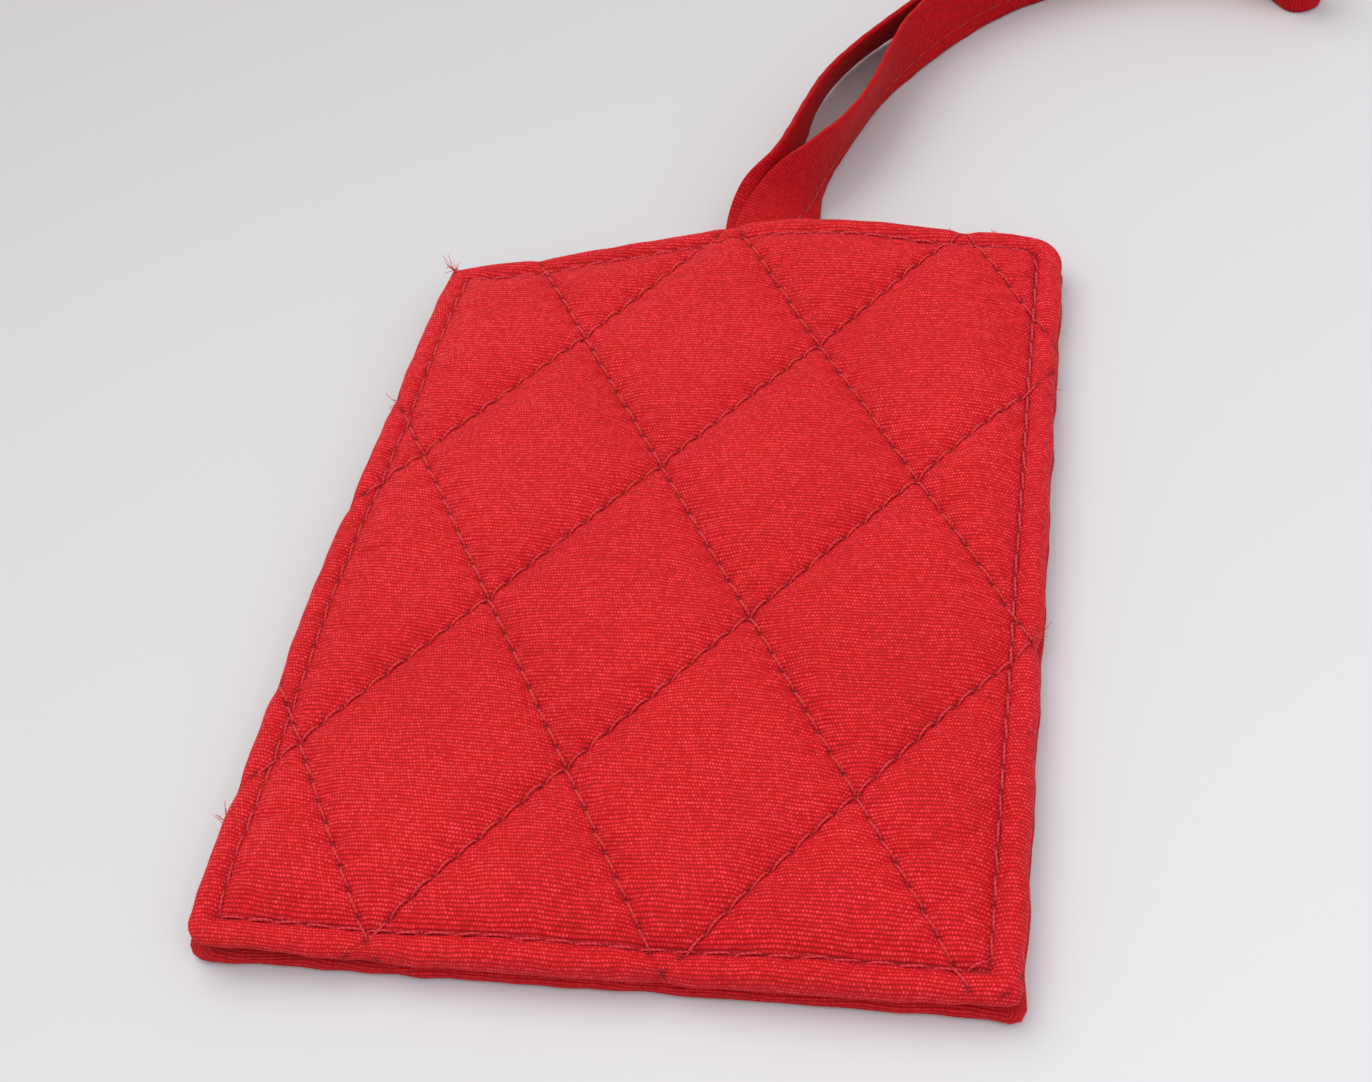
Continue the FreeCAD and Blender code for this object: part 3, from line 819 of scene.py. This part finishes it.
def rowDepth(x, y):
    # both sets of rows pull the cloth down: depth times e to minus the distance over the slope, with more at
    # each needle hole, and a small ripple between holes that reaches further
    pull = 0.0
    for angle in (quilt["down"], quilt["up"]):
        away, stitches = rowPlace(x, y, angle)
        hole = np.cos(np.pi * stitches) ** 2
        valley = np.exp(-np.abs(away) / quilt["slope"])
        ripple = quilt["ripple"] * (hole - 0.5) * np.exp(-np.abs(away) / quilt["rippleReach"])
        pull = np.maximum(pull, 0) + valley * (quilt["depth"] + quilt["holeDepth"] * (hole - 0.6)) + ripple
    return np.minimum(pull, quilt["depth"] * quilt["deepest"] + 0.1 * pull)


# the puffed cover's outer face
puff = {
    "below": 0.15,              # its crest under the CAD cover's highest point
    "thins": (8.5, 2.0),        # from so far inside the edge to so near it, it thins,
    "thinner": (((0, 1), 0.8), ((2, 3), 0.35)),   # by this much along the bottom and right, and on the top
    "band": 0.16,               # and a little more from the seam to the edge
    "seamUneven": 0.12,
    "edgeRows": 0.45,           # share of a row's depth that is left at the rolled edge,
    "edgeRun": (0.5, 2.5),      # and from where, over what distance, it deepens
    "both": 0.35,               # where a row meets the seam, this much of the shallower one is added
    "long": 0.10,               # waves of unevenness
    "short": 0.03,
}


def crown(x, y):
    # each diamond is a little higher in its middle
    downAway = np.abs(rowPlace(x, y, quilt["down"])[0]) / quilt["spacing"]
    upAway = np.abs(rowPlace(x, y, quilt["up"])[0]) / quilt["spacing"]
    return quilt["crown"] * 16 * downAway * (1 - downAway) * upAway * (1 - upAway)


def coverCrest(x, y, d):
    # the cover's outer face before its edge turns down: it thins towards the edges, is pulled down by the
    # rows and by the seam, and is uneven in long and short waves
    far, near = puff["thins"]
    sag = np.maximum(*[most * smooth((far - edgeDistance(x, y, sides)) / (far - near))
                       for sides, most in puff["thinner"]])
    seamPull = seam["depth"] + puff["seamUneven"] * wander(x, y, 9, shortest=2.2, longest=7.0)
    seamPull = seamPull * np.exp(-np.abs(d - seam["inset"]) / seam["slope"])
    start, run = puff["edgeRun"]
    inside = puff["edgeRows"] + (1 - puff["edgeRows"]) * smooth((d - start) / run)
    rows = rowDepth(x, y) * inside
    deepest = np.maximum(rows, seamPull) + puff["both"] * np.minimum(rows, seamPull)
    band = puff["band"] * smooth((seam["inset"] - d) / seam["inset"])
    uneven = puff["long"] * wander(x, y, 5) + puff["short"] * wander(x, y, 6, shortest=3.0, longest=6.0)
    crest = coverLevel[1] - puff["below"]
    return crest + crown(x, y) - sag - band - deepest + tailLift(x, y) + uneven


def turnedPly(name, settings, outer, under):
    # A cloth with its edge turned under. Its face is a patch at the outer level. Its rim is a half ellipse,
    # inset = reach * (1 - sin a) and level = side + half height * cos a, for a up to a half turn. Its hem
    # runs in again at the under level. sign is 1 for a ply that faces up and -1 for one that faces down.
    columns, rows = settings["columns"], settings["rows"]
    reach, sign = settings["rim"], settings["sign"]
    start = math.asin(1 - settings["faceInset"] / reach)
    face = outlinePatch(settings["faceInset"], columns, rows)
    x, y = face[..., 0], face[..., 1]
    d = edgeDistance(x, y)
    crest = outer(x, y, d)
    side = (crest + under(x, y)) / 2
    drop = np.sqrt(np.clip(1 - (np.clip(reach - d, 0, None) / reach) ** 2, 0, 1))
    level = side + (crest - side) * drop
    points = [np.concatenate([face, level[..., None]], -1).reshape(-1, 3)]
    flats = [face.reshape(-1, 2)]
    loop, numbers = rimOf(face)
    outward = outwardOf(loop)
    angles = np.linspace(start, np.pi, settings["rimSteps"])[1:, None]
    inset = reach * (1 - np.sin(angles))
    ringX = loop[:, 0] + outward[:, 0] * (settings["faceInset"] - inset)
    ringY = loop[:, 1] + outward[:, 1] * (settings["faceInset"] - inset)
    crest, lower = outer(ringX, ringY, inset), under(ringX, ringY)
    side = (crest + lower) / 2
    cosine = np.cos(angles)
    level = side + np.where(cosine > 0, crest - side, side - lower) * cosine
    rowsAway = [rowPlace(loop[:, 0], loop[:, 1], quilt[way])[0] for way in ("down", "up")]
    dimple = settings["dimple"] * sum(hump(away, 0, quilt["dimpleWidth"]) for away in rowsAway)
    ripple = settings["ripple"] * wander(loop[:, 0], loop[:, 1], 21, shortest=2.6, longest=8.0)
    pulled = (dimple + ripple) * np.sin(angles)
    ringX, ringY = ringX - outward[:, 0] * pulled, ringY - outward[:, 1] * pulled
    points.append(np.stack([ringX, ringY, level], -1).reshape(-1, 3))
    halfHeight = np.abs(crest - lower).mean() / 2
    arc = (angles - start) * (reach + halfHeight) / 2 + 0 * ringX
    flats.append((loop + outward * arc[..., None]).reshape(-1, 2))
    # the hem: the patch's rim shrunk towards its middle
    middle = face.reshape(-1, 2).mean(0)
    spread = np.abs(face.reshape(-1, 2) - middle).max(0)
    hemInset = np.linspace(reach, plies["hem"], settings["hemSteps"])[1:, None, None]
    hem = middle + (loop[None] - middle) * (1 - (hemInset - settings["faceInset"]) / spread)
    hemLevel = under(hem[..., 0], hem[..., 1])
    points.append(np.concatenate([hem, hemLevel[..., None]], -1).reshape(-1, 3))
    arc = arc[-1] + (hemInset[..., 0] - reach)
    flats.append((loop + outward * arc[..., None]).reshape(-1, 2))
    ringCount = len(angles) + len(hemInset)
    allPoints = np.concatenate(points)
    for cornerX, cornerY, pullX, pullY, reachOut in settings["corners"]:
        near = hump(allPoints[:, 0], cornerX, reachOut) * hump(allPoints[:, 1], cornerY, reachOut)
        allPoints[:, 0] += pullX * near
        allPoints[:, 1] += pullY * near
    first = len(points[0])
    rings = np.r_[numbers[None], first + np.arange(ringCount * len(loop)).reshape(ringCount, -1)]
    after = np.roll(rings, -1, axis=1)
    ringQuads = np.stack([rings[:-1], rings[1:], after[1:], after[:-1]], -1).reshape(-1, 4)
    quads = np.r_[gridQuads(columns + 1, rows + 1), ringQuads]
    if sign < 0:
        quads = quads[:, ::-1]
    piece = makeObject(name, allPoints, quads, np.concatenate(flats))
    fromEdge = np.r_[d.ravel(), np.full(ringCount * len(loop), -1.0)].astype(np.float32)
    piece.data.attributes.new("fromEdge", "FLOAT", "POINT").data.foreach_set("value", fromEdge)
    return piece


def closedSheet(name, grid, low, high):
    # a thin closed form over a grid of places: its top at one level and its underside at another
    columns, rows = grid.shape[:2]
    numbers = rimOf(grid)[1]
    top = np.concatenate([grid, high[..., None]], -1).reshape(-1, 3)
    base = np.concatenate([grid, low[..., None]], -1).reshape(-1, 3)
    face = gridQuads(columns, rows)
    count = columns * rows
    after = np.roll(numbers, -1)
    wall = np.stack([numbers, numbers + count, after + count, after], -1)
    quads = np.r_[face, face[:, ::-1] + count, wall]
    flat = np.concatenate([grid.reshape(-1, 2), grid.reshape(-1, 2)])
    return makeObject(name, np.concatenate([top, base]), quads, flat)


coverPiece = {
    "columns": 156, "rows": 206,
    "faceInset": 0.9, "rim": plies["rimInset"], "rimSteps": 15, "hemSteps": 8,
    "sign": 1, "dimple": 0.2, "ripple": 0.1,
    # x and y of a corner, how far it is pulled along x and y, and over what distance: folded cloth keeps
    # its corners a little sharper than they are sewn
    "corners": [(36.0, 0.0, 0.25, -0.3, 1.6), (-33.9, 88.6, -0.35, 0.3, 1.5)],
}
billow = {
    "scale": 10.0,          # the solver is happier with a larger cloth
    "frames": 18,
    "pressure": 4.0,
    "surplus": 0.03,        # the cloth has this much more area than its filling needs
    "cap": 0.45,            # no point moves further
    "holdWidth": 0.4,       # the cloth is held this close to a row of stitches
    "rowHold": 0.35,        # how firmly, 1 being quite still: along a row,
    "seamHold": 0.8,        # and along the seam; at the needle holes and in the turned edge it is 1
    "turnedIn": 0.6,        # from the seam to the turned edge
    "quality": 6,
    "mass": 0.3,
    "stiffness": {"tension": 12.0, "compression": 12.0, "shear": 4.0, "bending": 0.4},
}


def billowCover(piece):
    # The cover simulated as a cloth that its filling pushes outwards: held at its turned edge and at its
    # stitches, with a little more cloth than it needs, so that it puckers between the needle holes.
    mesh = piece.data
    count = len(mesh.vertices)
    before = np.zeros(count * 3, np.float32)
    mesh.vertices.foreach_get("co", before)
    places = before.reshape(-1, 3) / metre - [0.0, bottomY, 0.0]
    fromEdge = np.zeros(count, np.float32)
    mesh.attributes["fromEdge"].data.foreach_get("value", fromEdge)
    hold = np.where(fromEdge < seam["inset"] - billow["turnedIn"], 1.0, 0.0)
    for angle in (quilt["down"], quilt["up"]):
        away, along = rowPlace(places[:, 0], places[:, 1], angle)
        firm = billow["rowHold"] + (1 - billow["rowHold"]) * np.cos(np.pi * along) ** 2
        hold = np.maximum(hold, np.where(np.abs(away) < billow["holdWidth"], firm, 0.0))
    onSeam = np.abs(fromEdge - seam["inset"]) < billow["holdWidth"]
    hold = np.where(onSeam, np.maximum(hold, billow["seamHold"]), hold)
    cloth = bpy.data.objects.new("billowing", mesh.copy())
    bpy.context.scene.collection.objects.link(cloth)
    cloth.data.vertices.foreach_set("co", before * billow["scale"])
    group = cloth.vertex_groups.new(name="held")
    for weight in np.unique(np.round(hold, 1)):
        if weight > 0:
            group.add(np.flatnonzero(np.round(hold, 1) == weight).tolist(), float(weight), "REPLACE")
    physics = cloth.modifiers.new("cloth", "CLOTH")
    settings = physics.settings
    settings.quality = billow["quality"]
    settings.mass = billow["mass"]
    for way, stiffness in billow["stiffness"].items():
        setattr(settings, way + "_stiffness", stiffness)
    settings.vertex_group_mass = "held"
    settings.shrink_min = -billow["surplus"]
    settings.use_pressure = True
    settings.uniform_pressure_force = billow["pressure"]
    settings.effector_weights.gravity = 0.0
    physics.collision_settings.use_collision = False
    physics.point_cache.frame_end = billow["frames"]
    scene = bpy.context.scene
    for step in range(1, billow["frames"] + 1):
        scene.frame_set(step)
    settled = cloth.evaluated_get(bpy.context.evaluated_depsgraph_get()).to_mesh()
    after = np.zeros(count * 3, np.float32)
    settled.vertices.foreach_get("co", after)
    scene.frame_set(1)
    bpy.data.objects.remove(cloth)
    moved = after.reshape(-1, 3) / billow["scale"] - before.reshape(-1, 3)
    distance = np.linalg.norm(moved, axis=1, keepdims=True) / metre
    capped = billow["cap"] * np.tanh(distance / billow["cap"])
    moved = moved * capped / np.maximum(distance, 1e-9)
    mesh.vertices.foreach_set("co", (before.reshape(-1, 3) + moved).astype(np.float32).ravel())
    mesh.update()
    mean, most = (round(float(measure), 3) for measure in (distance.mean(), distance.max()))
    print("cover billowed, mm: mean", mean, "most", most)


cover = turnedPly("quilted_cover", coverPiece, coverCrest, coverUnder)
dress(cover, "cover")
billowCover(cover)
print("cover laid:", len(cover.data.polygons), "faces")


def surfaceTree(obj):
    mesh = obj.data
    points = np.zeros(len(mesh.vertices) * 3, np.float32)
    mesh.vertices.foreach_get("co", points)
    corners = np.zeros(len(mesh.loops), np.int32)
    mesh.loops.foreach_get("vertex_index", corners)
    return BVHTree.FromPolygons(points.reshape(-1, 3).tolist(), corners.reshape(-1, 4).tolist())


def surfaceLevels(tree, places):
    # level of the cover's outer face above each place, in mm, by looking straight down on it
    down = Vector((0.0, 0.0, -1.0))
    above = 0.05
    hits = [tree.ray_cast(Vector((x * metre, (y + bottomY) * metre, above)), down)[0] for x, y in places]
    return np.array([hit.z / metre if hit is not None else np.nan for hit in hits])


def holesOfRow(angle, index):
    # needle holes along one row, from edge to edge of the cover
    other = quilt["up"] if angle == quilt["down"] else quilt["down"]
    along, side = (np.array(rowGrid(way)[:2]) for way in (angle, other))
    reach = int(130 / needleStep)      # further than the tag is long
    steps = np.arange(-reach, reach + 1)[:, None] * needleStep
    holes = np.array(quilt["crossing"]) + side * index * crossingStep + along * steps
    return holes[edgeDistance(holes[:, 0], holes[:, 1]) > seam["lastHole"]]


def seamHoles(inset, stitchLength):
    # needle holes at even steps round the outline moved in by inset
    loop = cornerArcs(inset).reshape(-1, 2)
    loop = np.r_[loop, loop[:1]]
    count = round(lengthAlong(loop)[-1] / stitchLength)
    return evenly(loop, count)


def sewOnCover(name, holes, material, seed, tree):
    # needle thread on the cover: from hole to hole, over the cloth between them
    rng = np.random.default_rng(seed)
    holes = holes + rng.normal(0, threads["stray"], holes.shape)
    middles = (holes[1:] + holes[:-1]) / 2
    holeLevel, middleLevel = surfaceLevels(tree, holes), surfaceLevels(tree, middles)
    points = np.c_[holes, holeLevel]
    middle = np.c_[middles, middleLevel]
    good = np.isfinite(points[1:, 2] + points[:-1, 2] + middle[:, 2])
    up = np.tile([0.0, 0.0, 1.0], (good.sum(), 1))
    return stitches(name, points[:-1][good], middle[good], points[1:][good], up, material, seed)


coverTree = surfaceTree(cover)
seamPlaces = seamHoles(seam["inset"], seam["stitch"])
topstitch = sewOnCover("topstitch_needle", seamPlaces, "seamThread", 11, coverTree)
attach(topstitch, "tag")
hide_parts("topstitch_needle_thread")
rowNumbers = {"down": range(-2, 3), "up": range(-2, 2)}
for way, indices in rowNumbers.items():
    for number, index in enumerate(indices, 1):
        seed = 30 + 10 * (way == "up") + number
        holes = holesOfRow(quilt[way], index)
        row = sewOnCover(f"quilting_{way}_{number}", holes, "quiltingThread", seed, coverTree)
        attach(row, "tag")
        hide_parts(f"quilt_row_{way}_{number}")
print("stitches sewn")

# thickness of the cover's cloth, after its stitches have been laid on its outer face
solidify(cover, plies["cover"])
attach(cover, "tag")
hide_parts("front_cover")


# Cut fibres that work out of the folds: x, height, level, the way they point in degrees, how long, how many
tufts = [
    (-33.2, 88.0, 4.1, 128, 1.5, 16), (-34.6, 66.4, 3.6, 165, 0.9, 5), (-35.7, 12.2, 3.4, 140, 1.3, 8),
    (-35.8, 30.5, 3.5, 190, 0.5, 3), (22.9, 93.3, 4.0, 80, 0.7, 4), (28.6, 92.6, 4.0, 100, 0.7, 4),
    (35.7, 68.0, 3.8, 20, 0.8, 4), (35.6, 36.2, 3.9, 35, 1.1, 7), (35.7, 26.0, 3.8, -10, 0.8, 5),
    (35.7, 50.0, 3.8, 10, 0.5, 3),
]


fibres = {
    "fan": 32,                  # degrees by which they leave their tuft's direction
    "rise": (0.1, 0.35),        # how steeply they leave the edge, and how much that differs
    "curl": 0.5,
    "length": (0.5, 1.1),       # share of the tuft's
    "scatter": 0.16,
    "root": 0.4,                # mm of each that lie in the fold
    "reach": 1.3,
    "radius": (0.03, 0.06),
    "taper": 0.4,
}


def makeFrays():
    # each fibre runs out along its own direction and curls away by the square of the way along it
    rng = np.random.default_rng(81)
    table = np.repeat(np.array(tufts), [tuft[5] for tuft in tufts], axis=0)
    count = len(table)
    angle = np.radians(table[:, 3] + rng.normal(0, fibres["fan"], count))
    rise = rng.normal(*fibres["rise"], count)
    ahead = unit(np.stack([np.cos(angle), np.sin(angle), rise], -1))
    curl = rng.normal(0, fibres["curl"], (count, 3))
    length = table[:, 4] * rng.uniform(*fibres["length"], count)
    t = np.linspace(0, 1, 6)
    start = table[:, :3] + rng.normal(0, fibres["scatter"], (count, 3)) - fibres["root"] * ahead
    bent = ahead[:, None] * fibres["reach"] * t[None, :, None] + curl[:, None] * (t ** 2)[None, :, None]
    centres = start[:, None] + length[:, None, None] * bent
    radii = rng.uniform(*fibres["radius"], (count, 1)) * (1 - fibres["taper"] * t)[None]
    frays = tubes("loose_fibres", centres, radii, np.array([0.0, 0.0, 1.0]) + 0 * centres)
    dress(frays, "seamThread")
    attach(frays, "tag")


makeFrays()


fillings = {
    "inset": 1.3, "columns": 66, "rows": 86,
    "above": 0.04,              # the lining lies this far above the cover's hem,
    "below": 0.12,              # and the batting ends this far below its cloth
    "lining": 0.2, "leastLining": 0.1,
    "batting": 0.12,            # room that the lining leaves for it where the cover is pulled down
    "between": 0.02, "leastBatting": 0.06,
}


def makeFillings():
    # what the cover holds: its lining on the back ply, and the batting up to its cloth
    grid = outlinePatch(fillings["inset"], fillings["columns"], fillings["rows"])
    x, y = grid[..., 0], grid[..., 1]
    d = edgeDistance(x, y)
    base = coverUnder(x, y) + plies["cover"] + fillings["above"]
    top = coverCrest(x, y, d) - plies["cover"] - fillings["below"]
    liningTop = np.minimum(base + fillings["lining"], top - fillings["batting"])
    liningBase = np.minimum(base, liningTop - fillings["leastLining"])
    lining = closedSheet("lining", grid, liningBase, liningTop)
    dress(lining, "lining")
    battingTop = np.maximum(top, liningTop + fillings["leastBatting"])
    batting = closedSheet("batting_pad", grid, liningTop + fillings["between"], battingTop)
    dress(batting, "batting")
    for piece, node, slot in ((lining, "front_lining", "lining_cloth"),
                              (batting, "front_batting", "batting")):
        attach(piece, "tag")
        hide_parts(node)


panelPiece = {
    "columns": 100, "rows": 130,
    "faceInset": 0.5, "rim": 0.62, "rimSteps": 11, "hemSteps": 8,
    "sign": -1, "dimple": 0.0, "ripple": 0.12,
    "corners": [(-36.0, 0.0, -0.75, -0.3, 3.0), (36.0, 0.0, 0.3, -0.5, 2.2)],
    "cloth": 0.3,
    "draw": (0.12, 0.8),        # how far the seam draws it in, and over what distance
}
stiffenerPiece = {"inset": 0.9, "columns": 50, "rows": 66, "start": 0.33, "thickness": 0.18}


def panelFace(x, y, d):
    # the back ply's outer face is drawn in a little along the seam
    draw, reach = panelPiece["draw"]
    return panelUnder(x, y) + draw * np.exp(-np.abs(d - seam["inset"]) / reach)


def makeBack():
    panel = turnedPly("back_ply", panelPiece, panelFace, panelOver)
    dress(panel, "panel")
    solidify(panel, panelPiece["cloth"])
    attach(panel, "tag")
    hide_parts("back_panel")
    grid = outlinePatch(stiffenerPiece["inset"], stiffenerPiece["columns"], stiffenerPiece["rows"])
    x, y = grid[..., 0], grid[..., 1]
    base = panelFace(x, y, edgeDistance(x, y)) + stiffenerPiece["start"]
    stiffener = closedSheet("stiffener", grid, base, base + stiffenerPiece["thickness"])
    dress(stiffener, "interfacing")
    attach(stiffener, "tag")
    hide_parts("back_interfacing")


makeFillings()
makeBack()
print("fillings and back made")

pocket = {
    "columns": 96, "rows": 128,
    "filmInset": 1.2,
    "film": 0.25,
    "mouth": -28.0,             # x of its edge
    "mouthLevel": 0.4,          # the film's underside in its binding
    "mouthEnd": 8.6,            # it comes down to the table this far in,
    "marginEnd": 5.0,           # and rises to the back ply this far from the sewn edges,
    "rise": 1.6,                # over this distance
    "gap": 0.04,                # between them
    "resting": 0.05,            # the film's mean height above the table, and its unevenness
    "tape": 0.18,
    "tapeWidth": 7.0,
    "tapeFold": 0.1,            # the tape's middle lies this far outside the film
    "tapeRows": 110,
    "tapeRipple": 0.03,
    "tapeEdge": 0.05,           # unevenness of its fold
    "tapeEnd": 0.4,             # its stitches start and end this far from its ends
    "threadRadius": 0.09,
    "stitchLine": 1.5,          # from the tape's inner edge
}


def filmUnder(x, y):
    # the film lies on the table, and rises to the back ply at its sewn edges and into the tape at its mouth
    d = edgeDistance(x, y, (0, 1, 2, 3))
    sewn = smooth((pocket["marginEnd"] - d) / pocket["rise"])
    toPanel = panelUnder(x, y) - pocket["gap"] - pocket["film"]
    mouth = pocket["mouthLevel"] * smooth((pocket["mouth"] + pocket["mouthEnd"] - x) / pocket["rise"])
    resting = pocket["resting"] + pocket["resting"] * wander(x, y, 14, shortest=16.0, longest=60.0)
    return np.maximum(resting, mouth) * (1 - sewn) + toPanel * sewn


def makePocket():
    # the film is a patch between the mouth and three sides of the outline moved in, where its corners are
    columns, rows = pocket["columns"], pocket["rows"]
    left, low = pocket["mouth"], pocket["filmInset"]
    arcs = cornerArcs(pocket["filmInset"])
    half = arcs.shape[1] // 2 + 1
    topLeft = np.concatenate([arcs[4], arcs[3]])
    topY = np.interp(left, np.sort(topLeft[:, 0]), np.sort(topLeft[:, 1]))
    topRun = np.concatenate([arcs[4][::-1], arcs[3][::-1], arcs[2][:half][::-1]])
    topRun = np.concatenate([[[left, topY]], topRun[topRun[:, 0] > left]])
    bottomRun = np.concatenate([[[left, low]], arcs[1][:half]])
    leftRun = np.array([[left, low], [left, topY]])
    rightRun = np.concatenate([arcs[1][half - 1:], arcs[2][:half]])
    grid = patch(evenly(bottomRun, columns), evenly(topRun, columns),
                 evenly(leftRun, rows), evenly(rightRun, rows))
    base = filmUnder(grid[..., 0], grid[..., 1])
    film = closedSheet("clear_window", grid, base, base + pocket["film"])
    dress(film, "vinyl")
    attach(film, "tag")
    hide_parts("window_film")
    # the binding: a strip of tape folded round the film's edge, (x, level) along its width, carried along y
    low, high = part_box("mouth_binding")
    ends = low.y / metre - bottomY, high.y / metre - bottomY
    y = np.linspace(ends[0], ends[1], pocket["tapeRows"])
    fold = np.linspace(np.pi / 2, 3 * np.pi / 2, 9)
    middle = pocket["mouthLevel"] + pocket["film"] / 2
    reach = pocket["film"] / 2 + pocket["tapeFold"]
    flatRun = np.linspace(left + pocket["tapeWidth"], left, 12)
    profile = np.r_[np.c_[flatRun, np.full_like(flatRun, middle + reach)],
                    np.c_[left + reach * np.cos(fold), middle + reach * np.sin(fold)][1:-1],
                    np.c_[flatRun[::-1], np.full_like(flatRun, middle - reach)]]
    around = lengthAlong(profile)
    ripple = pocket["tapeRipple"] * np.sin(2 * np.pi * y / seam["stitch"])
    ripple = ripple * smooth((profile[:, :1] - left) / 3)
    edge = pocket["tapeEdge"] * wander(y, 0 * y, 8)[None, :]
    points = np.stack([profile[:, :1] + edge, y[None, :] + 0 * profile[:, :1], profile[:, 1:] + ripple], -1)
    flat = np.stack(np.broadcast_arrays(around[:, None], y[None, :]), -1)
    quads = gridQuads(*points.shape[:2])
    tape = makeObject("mouth_tape", points.reshape(-1, 3), quads, flat.reshape(-1, 2))
    dress(tape, "tape")
    solidify(tape, pocket["tape"], 0.0)
    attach(tape, "tag")
    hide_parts("mouth_binding")
    # its row of stitches, seen from below
    count = round((ends[1] - ends[0]) / seam["stitch"])
    holes = np.linspace(ends[0] + pocket["tapeEnd"], ends[1] - pocket["tapeEnd"], count + 1)
    x = left + pocket["tapeWidth"] - pocket["stitchLine"]
    underTape = middle - reach - pocket["tape"] / 2
    points = np.stack([np.full(count + 1, x), holes, np.full(count + 1, underTape)], -1)
    down = np.tile([0.0, 0.0, -1.0], (count, 1))
    row = stitches("mouth_tape_stitches", points[:-1], (points[1:] + points[:-1]) / 2, points[1:], down,
                   "seamThread", 51, radius=pocket["threadRadius"])
    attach(row, "tag")
    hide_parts("binding_thread")


def sewUnderneath():
    # the topstitching's bobbin thread, on the film where there is film and on the cloth elsewhere
    holes = seamPlaces + np.random.default_rng(61).normal(0, threads["strayBelow"], seamPlaces.shape)
    middles = (holes[1:] + holes[:-1]) / 2

    def under(p):
        cloth = panelFace(p[:, 0], p[:, 1], edgeDistance(p[:, 0], p[:, 1]))
        film = filmUnder(p[:, 0], p[:, 1])
        return np.c_[p, np.where(p[:, 0] > pocket["mouth"], film, cloth)]

    points, middle = under(holes), under(middles)
    down = np.tile([0.0, 0.0, -1.0], (len(middle), 1))
    row = stitches("topstitch_bobbin", points[:-1], middle, points[1:], down, "seamThread", 62)
    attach(row, "tag")
    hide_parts("topstitch_bobbin_thread")


makePocket()
sewUnderneath()
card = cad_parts["address_card"]
dress(card, "card")
print("pocket and card made")


# a pale floor, painted darker towards the back left and lighter towards the front right as painted light
# falloff
stage = {
    "size": 3.0,                # metres to each side
    "dark": "#afacaa", "light": "#dad9da",
    "tone": 0.72,               # under the tag, 0 being the dark colour and 1 the light one
    "slope": (2.2, -2.4),       # painted light falloff, added to the tone for each metre along x and y
    "cloud": 0.06,
}


def makeStage():
    corners = np.array([[-1, -1], [1, -1], [1, 1], [-1, 1]]) * stage["size"] / metre
    points = np.c_[corners, np.zeros(4)] - [0.0, bottomY, 0.0]
    floor = makeObject("floor", points, np.array([[0, 1, 2, 3]]))
    material, add = newMaterial("pale matt floor with painted falloff", {"Roughness": 0.6, "Specular IOR Level": 0.3})
    place = add("TexCoord", {}).node.outputs["Object"]
    cloud = add("TexNoise", {"Scale": 5.0, "Detail": 2.0}, place)
    x = add("SeparateXYZ", {}, place)
    falloffX, falloffY = stage["slope"]
    tone = add("Math", "MULTIPLY_ADD", x, falloffX, add("Math", "MULTIPLY", x.node.outputs["Y"], falloffY))
    tone = add("Math", "ADD", tone, stage["tone"])
    tone = add("Math", "MULTIPLY_ADD", cloud, stage["cloud"], tone)
    colour = add("ValToRGB", {}, tone)
    colourStops(colour, stage["dark"], stage["light"])
    drive(material, {"Base Color": colour})
    floor.data.materials.append(material)


lights = {
    "key": {"place": (-0.45, 0.45, 0.85), "size": 1.0, "power": 5.7, "colour": "#fff8f0"},
    "fill": {"place": (0.6, -0.35, 0.8), "size": 1.0, "power": 3.0, "colour": "#f8f9ff"},
}
room = {"colour": "#f0f3f8", "strength": 0.82}


def makeLights():
    for name, light in lights.items():
        data = bpy.data.lights.new(name, "AREA")
        data.shape = "DISK"
        data.size = light["size"]
        data.energy = light["power"]
        data.color = linear(light["colour"])[:3]
        lamp = bpy.data.objects.new(name, data)
        lamp.location = light["place"]
        lamp.rotation_euler = (-Vector(light["place"])).to_track_quat("-Z", "Y").to_euler()
        bpy.context.scene.collection.objects.link(lamp)
    world = bpy.data.worlds.new("soft room")
    world.use_nodes = True
    background = world.node_tree.nodes["Background"]
    background.inputs["Color"].default_value = linear(room["colour"])
    background.inputs["Strength"].default_value = room["strength"]
    bpy.context.scene.world = world
    bpy.context.scene.view_settings.view_transform = "Standard"


makeStage()
makeLights()
print("stage and lights made")
